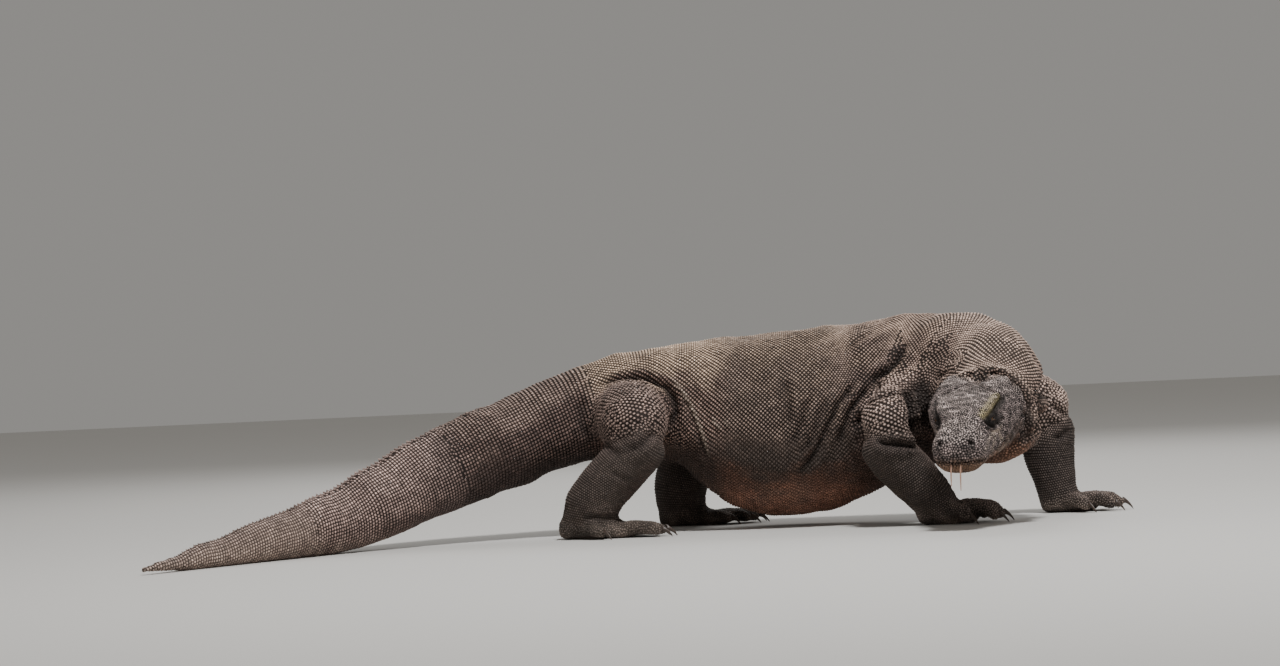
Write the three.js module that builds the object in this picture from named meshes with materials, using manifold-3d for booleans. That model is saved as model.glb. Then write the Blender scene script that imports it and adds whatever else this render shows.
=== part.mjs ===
// A life-size Komodo dragon, standing still with its tail swept to its right and its head turned back
// over its right shoulder. Millimetres, +Z up, the floor at z = 0, the trunk roughly along +X.
//
// Every sub-part is lofted through oval sections along a smooth line. Neighbours are cut apart with a
// thin gap, and what touches the floor is trimmed to a small flat at z = 0.
import * as THREE from "three";
import { LoftGeometry } from "three/addons/geometries/LoftGeometry.js";
import { mergeVertices } from "three/addons/utils/BufferGeometryUtils.js";
import Module from "manifold-3d";

const wasm = await Module();
wasm.setup();

// ---------------------------------------------------------------- driving sizes
const GAP = 0.35; // clear space left between neighbouring pieces
const MIDDLE = [26, -49]; // middle of the model's box seen from above, where the origin ends up
const FLOOR_BLOCK = { across: 4000, deep: 200 }; // what is cut away below the floor
const DEG = Math.PI / 180;
const X = new THREE.Vector3(1, 0, 0);
const Z = new THREE.Vector3(0, 0, 1);

// Spine, from the tip of the tail to the nape:
// [x, y, height of the back, height of the underside, half width].
const SPINE = [
  [-966, -577, 17, 4, 6],
  [-915, -508, 33, 0, 13],
  [-850, -412, 54, -2, 20],
  [-770, -300, 82, -3, 30],
  [-690, -190, 109, -3, 39],
  [-610, -92, 142, 2, 48],
  [-510, 5, 197, 30, 61],
  [-410, 80, 248, 66, 72],
  [-300, 140, 292, 98, 82],
  [-200, 176, 325, 132, 91],
  [-110, 196, 357, 152, 105],
  [-20, 206, 380, 160, 118],
  [65, 208, 391, 146, 132],
  [130, 208, 397, 82, 148],
  [200, 206, 402, 36, 163],
  [290, 202, 409, 17, 172],
  [400, 192, 416, 36, 170],
  [500, 175, 424, 80, 156],
  [585, 148, 431, 116, 143],
  [650, 102, 433, 132, 132],
  [695, 36, 424, 130, 121],
  [714, -40, 392, 128, 112],
  [706, -108, 346, 122, 100],
  [690, -160, 306, 121, 86],
];
// The names of the lengths that the spine is cut into, with the station that each one ends at.
const SPINE_PARTS = [
  ["tail_end", 4],
  ["tail_middle", 7],
  ["tail_base", 10],
  ["pelvis", 13.5],
  ["abdomen", 16.5],
  ["chest", 19.5],
  ["neck", SPINE.length - 1.1],
];
const SPINE_GAP = GAP / 2 / 80; // half of a gap between two lengths, in stations of about 80 mm
const WIDEST_LEVEL = 0.46; // share of the body's height at which it is widest
const CROWN = { tail: 1.65, trunk: 2.15 }; // roundness of the upper half: a keeled tail, a broad trunk
const SOLE = 2.1; // roundness of the lower half, and of limbs all round
const KEEL = { fades: 6, ends: 11 }; // stations between which the keel of the tail fades into the rump

// Head: its own frame has +X to the snout, +Y to its left and +Z up, with its origin inside the nape.
const HEAD = { at: [682, -132, 247], heading: -109.7, pitch: 22.5, roll: -0.4 };
// [distance along the head, height of the axis, half width, height above it, depth below it,
//  roundness above, roundness below]
const HEAD_SECTIONS = [
  [-52, -4, 60, 46, 56, 2.0, 2.0],
  [-18, -2, 76, 58, 72, 2.1, 2.1],
  [20, 0, 84, 61, 82, 2.3, 2.2],
  [58, 0, 86, 62, 84, 2.6, 2.3],
  [95, 0, 78, 63, 78, 2.9, 2.5],
  [126, 0, 67, 60, 70, 3.0, 2.7],
  [155, 0, 57, 51, 63, 2.9, 2.9],
  [184, 0, 52.5, 40, 57, 2.7, 3.0],
  [211, 0, 52, 33, 53, 2.6, 3.0],
  [232, 0, 49, 27, 49, 2.5, 2.9],
  [246, 0, 37, 20, 41, 2.3, 2.5],
  [254, -4, 12, 9, 20, 2.1, 2.1],
];
// Swellings and hollows of the skull, mirrored left and right: where each is, how far it reaches and
// how high it stands.
const HEAD_FORMS = [
  { at: [130, 55, 52], reach: 20, height: 7 }, // brow ridge
  { at: [158, 44, 47], reach: 15, height: 4 }, // front end of the brow
  { at: [146, 67, 25], reach: 18, height: -9 }, // eye socket
  { at: [176, 50, 22], reach: 20, height: -5 }, // hollow between eye and nostril
  { at: [229, 30, 17], reach: 13, height: 4 }, // rim of the nostril
  { at: [64, 82, 4], reach: 38, height: 9 }, // jaw muscle
  { at: [26, 48, 56], reach: 30, height: 11 }, // muscle bulge behind the crown
  { at: [116, 74, -22], reach: 24, height: 3 }, // cheek at the corner of the mouth
];
const CROWN_FURROW = { at: [14, 0, 60], reach: 30, height: -22 };
// The line of the closed mouth seen from the side, from ahead of the snout to the corner: [x, z].
const LIP = [
  [270, -17],
  [248, -17],
  [222, -25],
  [186, -36],
  [150, -38],
  [112, -30],
];
const JAW_ANGLE = [50, -110]; // where the cut behind the lower jaw leaves the throat
const HEAD_SPAN = 240; // more than the width of the head, for cuts right across it
const EYE = { at: [142, 50, 27], radius: 10.5 };
// The tongue's stem between the lips, and the left and right tines of its fork, which hang from it.
const TONGUE = {
  stem: { from: 216, to: 236, halfWidth: 11, halfThickness: 2.2 },
  fork: { root: 230, lip: 249, bend: 256, drop: 6, apart: 19, drift: 3 },
  tine: { lengths: [47, 38], radius: 2.2, tip: 1 },
};

// Legs. The upper length of a leg reaches out sideways:
// [x, y, z, half width, height above the axis, depth below].
// The lower length goes down to the foot:
// [x, y, z, half width, depth to the front, depth to the back].
const LEGS = {
  right_hind: {
    upper: {
      name: "right_thigh",
      sections: [
        [-32, 150, 248, 82, 78, 80],
        [-28, 92, 246, 79, 76, 78],
        [-22, 38, 238, 75, 73, 76],
        [-6, 4, 214, 61, 60, 64],
      ],
    },
    lower: {
      name: "right_shin",
      sections: [
        [2, 2, 194, 55, 55, 54],
        [-44, 10, 150, 57, 58, 56],
        [-86, 18, 108, 56, 58, 57],
        [-112, 24, 70, 54, 59, 60],
        [-122, 26, 34, 48, 56, 58],
      ],
    },
    foot: {
      name: "right_hind_foot",
      ankle: [-122, 24],
      heading: -9,
      side: -1,
      palm: { back: -66, front: 88, halfWidth: 42, height: 54 },
      arch: 1,
      toes: "hind",
    },
  },
  left_hind: {
    upper: {
      name: "left_thigh",
      sections: [
        [-26, 262, 246, 82, 76, 80],
        [14, 322, 238, 79, 76, 78],
        [58, 366, 226, 74, 70, 73],
        [92, 390, 208, 62, 60, 62],
      ],
    },
    lower: {
      name: "left_shin",
      sections: [
        [98, 392, 192, 57, 58, 58],
        [88, 393, 148, 57, 60, 60],
        [78, 394, 108, 55, 60, 60],
        [72, 395, 70, 52, 58, 60],
        [70, 396, 34, 47, 52, 54],
      ],
    },
    foot: {
      name: "left_hind_foot",
      ankle: [74, 396],
      heading: 2,
      side: 1,
      palm: { back: -54, front: 92, halfWidth: 42, height: 54 },
      arch: 1,
      toes: "hind",
    },
  },
  right_fore: {
    upper: {
      name: "right_upper_arm",
      sections: [
        [586, 74, 262, 67, 66, 68],
        [552, 28, 250, 69, 66, 68],
        [516, -20, 226, 66, 64, 66],
        [488, -48, 194, 58, 56, 60],
      ],
    },
    lower: {
      name: "right_forearm",
      sections: [
        [484, -48, 174, 54, 54, 56],
        [508, -44, 134, 54, 56, 56],
        [544, -38, 96, 52, 53, 54],
        [574, -32, 64, 48, 50, 50],
        [592, -28, 34, 42, 45, 45],
      ],
    },
    foot: {
      name: "right_hand",
      ankle: [592, -28],
      heading: 6,
      side: -1,
      palm: { back: -44, front: 70, halfWidth: 43, height: 60 },
      arch: 1.5,
      toes: "fore",
    },
  },
  left_fore: {
    upper: {
      name: "left_upper_arm",
      sections: [
        [694, 176, 262, 69, 68, 70],
        [752, 208, 256, 69, 68, 70],
        [808, 230, 238, 66, 67, 68],
        [854, 243, 208, 60, 62, 62],
      ],
    },
    lower: {
      name: "left_forearm",
      sections: [
        [850, 242, 188, 56, 58, 57],
        [848, 242, 144, 55, 59, 59],
        [852, 242, 106, 51, 55, 55],
        [860, 240, 70, 47, 48, 48],
        [864, 238, 36, 42, 44, 44],
      ],
    },
    foot: {
      name: "left_hand",
      ankle: [868, 238],
      heading: 2,
      side: 1,
      palm: { back: -40, front: 66, halfWidth: 43, height: 56 },
      arch: 1.2,
      toes: "fore",
    },
  },
};
// Digits from the inner side to the outer one: where each leaves the palm, as shares of the palm's
// length and half width, how far it turns from the foot's heading, its length without the claw and
// its radius.
const DIGITS = {
  hind: [
    { along: 0.72, across: 0.66, turn: 28, length: 56, radius: 13.5 },
    { along: 0.86, across: 0.38, turn: 13, length: 74, radius: 14 },
    { along: 0.9, across: 0.04, turn: 2, length: 86, radius: 14.5 },
    { along: 0.86, across: -0.34, turn: -10, length: 90, radius: 14.5 },
    { along: 0.36, across: -0.6, turn: -40, length: 69, radius: 13.5 },
  ],
  fore: [
    { along: 0.5, across: 0.62, turn: 54, length: 60, radius: 15 },
    { along: 0.78, across: 0.42, turn: 27, length: 72, radius: 16 },
    { along: 0.86, across: 0.02, turn: 2, length: 80, radius: 16.5 },
    { along: 0.78, across: -0.4, turn: -23, length: 74, radius: 16 },
    { along: 0.5, across: -0.62, turn: -52, length: 60, radius: 15 },
  ],
};
const CLAW = { length: 27, halfHeight: 6.6, halfWidth: 4.6, tip: 0.7 };

const COLOURS = {
  hide: { color: 0x6d6157, roughness: 0.85, metalness: 0 },
  head: { color: 0x6f6a68, roughness: 0.8, metalness: 0 },
  claw: { color: 0x2a2522, roughness: 0.45, metalness: 0 },
  eye: { color: 0x1c130c, roughness: 0.1, metalness: 0 },
  tongue: { color: 0xcfa79a, roughness: 0.5, metalness: 0 },
};

// How finely each kind of piece is cut into facets.
const FINENESS = {
  spine: { rings: 1.5, fewest: 4, sides: 20 }, // rings for each station, and the fewest in one length
  head: { rings: 17, sides: 18 },
  leg: { rings: 4, sides: 10 },
  palm: { rings: 3, sides: 10, turns: [50] },
  digit: { rings: 3, sides: 6, turns: [50] },
  claw: { rings: 3, sides: 4, turns: [60], bulge: [0.3, 1] },
  tongue: { rings: 3, sides: 4, turns: [60] },
  eye: { across: 8, high: 6 },
  lip: { steps: 12 },
};

// ---------------------------------------------------------------- solids

/** Turns a closed geometry into a solid whose faces point out. */
function solidOf(geometry) {
  const bare = new THREE.BufferGeometry();
  bare.setAttribute("position", geometry.attributes.position).setIndex(geometry.index);
  const merged = mergeVertices(bare, 1e-3);
  const corners = merged.index.array;
  const kept = [];
  for (let i = 0; i < corners.length; i += 3) {
    const [a, b, c] = [corners[i], corners[i + 1], corners[i + 2]];
    if (a !== b && b !== c && c !== a) kept.push(a, b, c);
  }
  const vertProperties = merged.attributes.position.array;
  const made = (triangles) => {
    const triVerts = new Uint32Array(triangles);
    return new wasm.Manifold(new wasm.Mesh({ numProp: 3, vertProperties, triVerts }));
  };
  const solid = made(kept);
  return solid.volume() > 0 ? solid : made(kept.reverse());
}

/** The largest separate body of a solid, which drops slivers that a cut leaves. */
const largest = (solid) => solid.decompose().reduce((a, b) => (a.volume() > b.volume() ? a : b));

/** A mesh with its own material, from a solid. */
function meshOf(name, solid, look) {
  const { numProp, numVert, vertProperties, triVerts } = solid.getMesh();
  const places = new Float32Array(numVert * 3);
  for (let i = 0; i < numVert; i++) {
    places.set(vertProperties.subarray(i * numProp, i * numProp + 3), i * 3);
  }
  const geometry = new THREE.BufferGeometry();
  geometry.setAttribute("position", new THREE.BufferAttribute(places, 3));
  geometry.setIndex(new THREE.BufferAttribute(new Uint32Array(triVerts), 1));
  const mesh = new THREE.Mesh(geometry, new THREE.MeshStandardMaterial(look));
  mesh.name = name;
  return mesh;
}

/** A smooth line of numbers: one row for each station, read at any point between them. */
class SmoothTable {
  constructor(rows) {
    this.rows = rows;
  }

  get end() {
    return this.rows.length - 1;
  }

  /** The row at a place counted in stations, by a Catmull-Rom curve through the rows. */
  at(place) {
    const t = THREE.MathUtils.clamp(place, 0, this.end);
    const i = Math.min(Math.floor(t), this.end - 1);
    const f = t - i;
    const row = (k) => this.rows[THREE.MathUtils.clamp(k, 0, this.end)];
    return row(i).map((b, n) => {
      const [a, c, d] = [row(i - 1)[n], row(i + 1)[n], row(i + 2)[n]];
      const bend = 2 * a - 5 * b + 4 * c - d;
      const twist = 3 * b - 3 * c + d - a;
      return 0.5 * (2 * b + (c - a) * f + bend * f ** 2 + twist * f ** 3);
    });
  }

  /** How much the row changes over a short step to both sides of a place. */
  slopeAt(place) {
    const before = this.at(place - SmoothTable.STEP);
    return this.at(place + SmoothTable.STEP).map((value, n) => value - before[n]);
  }

  static STEP = 0.05; // stations
}

/** One oval section: points round a centre, with its own roundness above and below. */
function oval(centre, side, up, size, sides) {
  const points = [];
  const power = (value, roundness) => Math.sign(value) * Math.abs(value) ** (2 / roundness);
  for (let k = 0; k < sides; k++) {
    const angle = (2 * Math.PI * k) / sides;
    const above = Math.sin(angle) >= 0;
    const roundness = above ? size.crown : size.sole;
    const across = power(Math.cos(angle), roundness) * size.half;
    const high = power(Math.sin(angle), roundness) * (above ? size.top : size.bottom);
    points.push(centre.clone().addScaledVector(side, across).addScaledVector(up, high));
  }
  return points;
}

/**
 * Lofts through ovals. line(place) gives { centre, tangent, size }, and up is the way that each oval's
 * top faces.
 */
function loftThrough(line, places, sides, up, shape = (p) => p) {
  const sections = places.map((place) => {
    const { centre, tangent, size } = line(place);
    const side = up.clone().cross(tangent).normalize();
    const high = tangent.clone().cross(side);
    return oval(centre, side, high, size, sides).map((p) => shape(p, centre));
  });
  return solidOf(new LoftGeometry(sections, { capStart: true, capEnd: true }));
}

/** The places of rings + 1 rings from one place to another. */
function evenPlaces(from, to, rings) {
  return Array.from({ length: rings + 1 }, (_, k) => THREE.MathUtils.lerp(from, to, k / rings));
}

/**
 * A rounded limb, finger, claw or strand through rows of [x, y, z, half width, height above, depth
 * below], grown by extra all round. Its two ends bulge by the given shares of their own half widths,
 * with a ring at each turn in degrees from the rim towards the tip.
 */
function roundedLoft(rows, { rings, sides, turns = [72, 38], bulge = [0.5, 0.5] }, up, extra = 0) {
  const table = new SmoothTable(rows);
  const line = ({ t, turn }) => {
    const [x, y, z, half, top, bottom] = table.at(t);
    const tangent = new THREE.Vector3(...table.slopeAt(t).slice(0, 3)).normalize();
    const share = Math.cos(turn);
    const reach = (half * bulge[turn < 0 ? 0 : 1] + extra) * Math.sin(turn);
    return {
      centre: new THREE.Vector3(x, y, z).addScaledVector(tangent, reach),
      tangent,
      size: {
        half: (half + extra) * share,
        top: (top + extra) * share,
        bottom: (bottom + extra) * share,
        crown: SOLE,
        sole: SOLE,
      },
    };
  };
  const places = [
    ...turns.map((turn) => ({ t: 0, turn: -turn * DEG })),
    ...evenPlaces(0, table.end, rings).map((t) => ({ t, turn: 0 })),
    ...turns.toReversed().map((turn) => ({ t: table.end, turn: turn * DEG })),
  ];
  return loftThrough(line, places, sides, up);
}

const { across, deep } = FLOOR_BLOCK;
const underground = solidOf(new THREE.BoxGeometry(across, across, deep).translate(0, 0, -deep / 2));
const onFloor = (solid) => largest(solid.subtract(underground));

// ---------------------------------------------------------------- tail, trunk and neck
const spineTable = new SmoothTable(SPINE);

/** The spine's oval at a station, grown by extra all round. */
function spineLine(place, extra = 0) {
  const [x, y, back, belly, half] = spineTable.at(place);
  const height = back - belly;
  const level = belly + height * WIDEST_LEVEL;
  const trunkShare = THREE.MathUtils.smoothstep(place, KEEL.fades, KEEL.ends);
  // A section leans only as far as the back and the underside both slope, and is measured across its lean.
  const [east, north, backRise, bellyRise] = spineTable.slopeAt(place);
  const sharedRise = Math.sign(backRise) * Math.min(Math.abs(backRise), Math.abs(bellyRise));
  const way = new THREE.Vector3(east, north, backRise * bellyRise > 0 ? sharedRise : 0);
  const lean = Math.hypot(way.x, way.y) / way.length();
  return {
    centre: new THREE.Vector3(x, y, level),
    tangent: way.normalize(),
    size: {
      half: half + extra,
      top: (back - level) * lean + extra,
      bottom: (level - belly) * lean + extra,
      crown: THREE.MathUtils.lerp(CROWN.tail, CROWN.trunk, trunkShare),
      sole: SOLE,
    },
  };
}

/** One length of the spine as a solid. Grown by extra all round, it also reaches across its gaps. */
function spineSolid(index, extra = 0) {
  const end = SPINE_PARTS[index][1];
  const start = index === 0 ? 0 : SPINE_PARTS[index - 1][1];
  const inset = extra > 0 ? -SPINE_GAP : SPINE_GAP;
  const { rings, fewest, sides } = FINENESS.spine;
  const steps = Math.max(fewest, Math.round((end - start) * rings));
  const places = evenPlaces(start + inset, end - inset, steps);
  return loftThrough((place) => spineLine(place, extra), places, sides, Z);
}

// ---------------------------------------------------------------- head
const headTable = new SmoothTable(HEAD_SECTIONS);
const headMatrix = new THREE.Matrix4()
  .makeRotationZ(HEAD.heading * DEG)
  .multiply(new THREE.Matrix4().makeRotationY(HEAD.pitch * DEG))
  .multiply(new THREE.Matrix4().makeRotationX(HEAD.roll * DEG))
  .setPosition(...HEAD.at);
const fromHead = (x, y, z) => new THREE.Vector3(x, y, z).applyMatrix4(headMatrix);

/** Pushes a point of the head out or in by the skull's swellings and hollows. */
function skullForm(point, axis) {
  const out = new THREE.Vector3(0, point.y - axis.y, point.z - axis.z).normalize();
  let height = 0;
  const add = (form, mirror) => {
    const away = Math.hypot(point.x - form.at[0], point.y - mirror * form.at[1], point.z - form.at[2]);
    height += form.height * Math.exp(-((away / form.reach) ** 2));
  };
  for (const form of HEAD_FORMS) {
    add(form, 1);
    add(form, -1);
  }
  add(CROWN_FURROW, 1);
  return point.addScaledVector(out, height);
}

/** The whole head as one solid in its own frame, grown by extra all round. */
function headSolid(extra = 0) {
  const line = (place) => {
    const [x, z, half, top, bottom, crown, sole] = headTable.at(place);
    return {
      centre: new THREE.Vector3(x, 0, z),
      tangent: X,
      size: { half: half + extra, top: top + extra, bottom: bottom + extra, crown, sole },
    };
  };
  const { rings, sides } = FINENESS.head;
  return loftThrough(line, evenPlaces(0, headTable.end, rings), sides, Z, skullForm);
}

/** A prism through the head below the line of the lips, whose edge is raised by lift. */
function belowLips(lift) {
  const lips = new THREE.SplineCurve(LIP.map(([x, z]) => new THREE.Vector2(x, z + lift)));
  const outline = new THREE.Shape(lips.getPoints(FINENESS.lip.steps));
  outline.lineTo(JAW_ANGLE[0] - lift, JAW_ANGLE[1]);
  outline.lineTo(LIP[0][0], JAW_ANGLE[1]);
  const prism = new THREE.ExtrudeGeometry(outline, { depth: HEAD_SPAN, bevelEnabled: false });
  return solidOf(prism.rotateX(Math.PI / 2).translate(0, HEAD_SPAN / 2, 0));
}

/** A ball of the eye's size, grown by extra, on one side of the head. */
function eyeBall(mirror, extra = 0) {
  const ball = new THREE.SphereGeometry(EYE.radius + extra, FINENESS.eye.across, FINENESS.eye.high);
  return solidOf(ball.translate(EYE.at[0], mirror * EYE.at[1], EYE.at[2]));
}

// ---------------------------------------------------------------- tongue
/** A row of a rounded loft: a place with its half width and half height. */
const rowAt = (place, half, high = half) => [...place.toArray(), half, high, high];

/** The tongue, grown by extra: a flat stem between the lips, and the two tines that hang from it. */
function tongueSolid(extra = 0) {
  const { stem, fork, tine } = TONGUE;
  const level = LIP[1][1];
  const stemRows = evenPlaces(stem.from, stem.to, 2).map((x) =>
    rowAt(fromHead(x, 0, level), stem.halfWidth, stem.halfThickness),
  );
  const forward = fromHead(1, 0, 0).sub(fromHead(0, 0, 0)).setZ(0).normalize();
  const tines = tine.lengths.map((length, i) => {
    const across = ((i === 0 ? 1 : -1) * fork.apart) / 2;
    const bend = fromHead(fork.bend, across, level - fork.drop);
    const hang = (share) =>
      bend.clone().addScaledVector(forward, fork.drift * share).addScaledVector(Z, -length * share);
    const rows = [
      rowAt(fromHead(fork.root, across, level), tine.radius),
      rowAt(fromHead(fork.lip, across, level), tine.radius),
      rowAt(bend, tine.radius),
      rowAt(hang(0.35), tine.radius * 0.95),
      rowAt(hang(0.7), tine.radius * 0.8),
      rowAt(hang(1), tine.tip),
    ];
    return roundedLoft(rows, FINENESS.tongue, forward, extra);
  });
  return tines.reduce((whole, one) => whole.add(one), roundedLoft(stemRows, FINENESS.tongue, Z, extra));
}

// ---------------------------------------------------------------- legs
/** The upper and lower length of a leg as solids, grown by extra all round. */
const upperLeg = (sections, extra = 0) => roundedLoft(sections, FINENESS.leg, Z, extra);
const lowerLeg = (sections, extra = 0) => roundedLoft(sections, FINENESS.leg, X, extra);

/** The point of a foot at a distance ahead of its ankle, to the inner side of it, and above the floor. */
function footPoint(foot, ahead, inward, height) {
  const offset = new THREE.Vector2(ahead, -inward * foot.side);
  offset.rotateAround(new THREE.Vector2(), foot.heading * DEG);
  return new THREE.Vector3(foot.ankle[0] + offset.x, foot.ankle[1] + offset.y, height);
}

/** The point of a digit at a distance from its root in the palm, at a height above the floor. */
function digitPoint(foot, digit, distance, height) {
  const { back, front, halfWidth } = foot.palm;
  const ahead = THREE.MathUtils.lerp(back, front, digit.along) + distance * Math.cos(digit.turn * DEG);
  const inward = digit.across * halfWidth + distance * Math.sin(digit.turn * DEG);
  return footPoint(foot, ahead, inward, height);
}

/** A foot or hand: the palm with its digits, grown by extra all round. */
function footSolid(foot, extra = 0) {
  const { back, front, halfWidth, height } = foot.palm;
  // [share of the palm's length, height of its axis, half width, half height], the last three as shares
  const palm = [
    [0.1, 0.4, 0.72, 0.42],
    [0.4, 0.46, 1, 0.52],
    [0.72, 0.3, 1.02, 0.4],
    [0.96, 0.22, 0.82, 0.26],
  ].map(([along, level, wide, high]) => {
    const place = footPoint(foot, THREE.MathUtils.lerp(back, front, along), 0, height * level);
    return rowAt(place, wide * halfWidth, high * height);
  });
  let solid = roundedLoft(palm, FINENESS.palm, Z, extra);
  for (const digit of DIGITS[foot.toes]) {
    const { length: reach, radius } = digit;
    // [share of the digit's length, height of its axis, radius], the last two in radii of the digit
    const rows = [
      [-0.3, foot.arch, 0.9],
      [0.15, 1.4 * foot.arch, 1.08],
      [0.5, 1.46 * foot.arch, 1.08],
      [0.8, 0.25 + 0.85 * foot.arch, 1],
      [0.97, 0.78, 0.78],
    ].map(([along, level, wide]) =>
      rowAt(digitPoint(foot, digit, along * reach, level * radius), wide * radius),
    );
    solid = solid.add(roundedLoft(rows, FINENESS.digit, Z, extra));
  }
  return solid;
}

/** The claw at the end of one digit, curving down to the floor. */
function clawSolid(foot, digit) {
  const { length: reach, radius } = digit;
  const { length, halfHeight, halfWidth, tip } = CLAW;
  // [distance past the digit's end, height of the axis, half width, half height]
  const rows = [
    [-9, radius * 1.05, halfWidth, halfHeight],
    [length * 0.28, radius * 1.05, halfWidth * 0.88, halfHeight * 0.85],
    [length * 0.6, radius * 0.62, halfWidth * 0.55, halfHeight * 0.52],
    [length * 0.82, tip * 1.3, tip, tip],
  ].map(([past, level, wide, high]) => rowAt(digitPoint(foot, digit, reach + past, level), wide, high));
  return roundedLoft(rows, FINENESS.claw, Z);
}

// ---------------------------------------------------------------- assembly
const animal = new THREE.Group();
const add = (name, solid, look) => animal.add(meshOf(name, onFloor(solid), look));

SPINE_PARTS.forEach(([name], i) => add(name, spineSolid(i), COLOURS.hide));
const spineGrown = SPINE_PARTS.map((_, i) => spineSolid(i, GAP));
const besideLegs = spineGrown.slice(SPINE_PARTS.findIndex(([name]) => name === "tail_base"));
const without = (solid, ...cutters) => cutters.reduce((rest, cutter) => rest.subtract(cutter), solid);

const placeHead = (solid) => solid.transform(headMatrix.elements);
const intoHead = (solid) => solid.transform(headMatrix.clone().invert().elements);
const wholeHead = without(headSolid(), intoHead(spineGrown.at(-1)), intoHead(tongueSolid(GAP)));
const skull = without(wholeHead, eyeBall(1, GAP), eyeBall(-1, GAP), belowLips(GAP));
add("head", placeHead(largest(skull)), COLOURS.head);
add("lower_jaw", placeHead(largest(wholeHead.intersect(belowLips(0)))), COLOURS.head);
add("left_eye", placeHead(eyeBall(1)), COLOURS.eye);
add("right_eye", placeHead(eyeBall(-1)), COLOURS.eye);
add("tongue", tongueSolid(), COLOURS.tongue);

const headGrown = placeHead(headSolid(GAP));
for (const { upper, lower, foot } of Object.values(LEGS)) {
  const upperGrown = upperLeg(upper.sections, GAP);
  const lowerGrown = lowerLeg(lower.sections, GAP);
  add(upper.name, without(upperLeg(upper.sections), ...besideLegs, headGrown), COLOURS.hide);
  add(lower.name, without(lowerLeg(lower.sections), ...besideLegs, upperGrown), COLOURS.hide);
  add(foot.name, without(footSolid(foot), lowerGrown), COLOURS.hide);
  const footGrown = footSolid(foot, GAP);
  DIGITS[foot.toes].forEach((digit, i) => {
    add(`${foot.name}_claw_${i + 1}`, without(clawSolid(foot, digit), footGrown), COLOURS.claw);
  });
}
animal.position.set(-MIDDLE[0], -MIDDLE[1], 0);

export default animal;
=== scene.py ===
"""A life-size Komodo dragon as a still museum model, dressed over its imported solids.

The solids give every place and size. One hide with no seams stands for all the nodes of flesh, and lies
inside them by the depth of the scales. Bead scales, a serrated crest, eyes, claws and a forked tongue are
set on it. Lengths in the sizes are millimetres in the row frame unless a comment says otherwise, and
meshes are in metres.
"""

from __future__ import annotations

import logging
import math
from collections.abc import Callable
from dataclasses import dataclass, field, replace
from enum import Enum
from itertools import product

import bmesh
import bpy
import numpy as np
from bpy.types import Material, Mesh, Node, NodeTree, Object
from mathutils import Euler, Matrix, Vector
from mathutils.bvhtree import BVHTree
from mathutils.kdtree import KDTree

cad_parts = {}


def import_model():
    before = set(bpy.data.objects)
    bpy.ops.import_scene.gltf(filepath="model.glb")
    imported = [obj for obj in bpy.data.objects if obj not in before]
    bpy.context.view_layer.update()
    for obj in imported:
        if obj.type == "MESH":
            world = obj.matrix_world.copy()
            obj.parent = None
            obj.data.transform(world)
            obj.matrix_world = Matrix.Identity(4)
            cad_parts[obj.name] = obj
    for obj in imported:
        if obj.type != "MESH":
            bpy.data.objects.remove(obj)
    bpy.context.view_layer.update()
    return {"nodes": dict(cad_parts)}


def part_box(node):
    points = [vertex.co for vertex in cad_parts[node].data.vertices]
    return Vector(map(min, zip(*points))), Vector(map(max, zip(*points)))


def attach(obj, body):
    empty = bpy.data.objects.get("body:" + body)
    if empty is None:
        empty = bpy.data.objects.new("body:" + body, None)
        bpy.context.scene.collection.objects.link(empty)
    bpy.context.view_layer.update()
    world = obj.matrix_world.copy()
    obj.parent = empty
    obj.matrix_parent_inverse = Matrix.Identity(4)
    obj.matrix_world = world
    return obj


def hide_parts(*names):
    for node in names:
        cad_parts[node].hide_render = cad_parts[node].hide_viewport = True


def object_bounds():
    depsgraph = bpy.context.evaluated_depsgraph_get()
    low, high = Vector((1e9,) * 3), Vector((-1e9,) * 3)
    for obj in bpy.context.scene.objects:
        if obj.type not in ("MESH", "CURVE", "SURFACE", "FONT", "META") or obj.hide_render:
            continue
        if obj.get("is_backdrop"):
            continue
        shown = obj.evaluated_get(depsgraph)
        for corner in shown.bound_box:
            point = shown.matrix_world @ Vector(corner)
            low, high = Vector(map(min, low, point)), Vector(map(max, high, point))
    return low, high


LOG = logging.getLogger("komodo_dragon")
MM = 0.001
SEED = 11
DULL = 0.16  # the relief that a hide with neither rubbing nor painted light counts as all over
TINY = 1e-9  # keeps a division by a length from failing
WELD = 1e-6  # metres within which the loose corners of a solid are one
NEAR_STEP = 0.006  # metres between the points of a line that is laid down on a surface

Array = np.ndarray
Pair = tuple[float, float]
Point = tuple[float, float, float]
Line = tuple[Point, ...] | Array  # as it is sized, or once it is laid down on the skin
ByEnding = tuple[tuple[str, float], ...]  # values by the ending of a node's name

SPINE_NODES = ("tail_end", "tail_middle", "tail_base", "pelvis", "abdomen", "chest", "neck")
TAIL_NODES = SPINE_NODES[:3]
TRUNK_NODES = ("pelvis", "abdomen", "chest")
HEAD_NODES = ("head", "lower_jaw")


# --- small helpers


def linear(colour: str) -> tuple[float, float, float, float]:
    """Turns an sRGB hex colour into linear values.

    Args:
        colour: The colour as "#rrggbb".

    Returns:
        Red, green, blue and an alpha of 1.
    """
    parts = [int(colour[i : i + 2], 16) / 255 for i in (1, 3, 5)]
    red, green, blue = (p / 12.92 if p <= 0.04045 else ((p + 0.055) / 1.055) ** 2.4 for p in parts)
    return red, green, blue, 1.0


def smooth_share(values: Array, low: float, high: float) -> Array:
    """Goes smoothly from 0 at low to 1 at high.

    Args:
        values: Any numbers.
        low: Where the share is 0.
        high: Where it is 1, which may be below low.

    Returns:
        The share for each value.
    """
    share = np.clip((np.asarray(values, float) - low) / (high - low), 0, 1)
    return share * share * (3 - 2 * share)


def bell(values: Array, reach: float) -> Array:
    """A bell curve that is 1 at 0 and about a third at reach."""
    return np.exp(-((np.asarray(values, float) / reach) ** 2))


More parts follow.
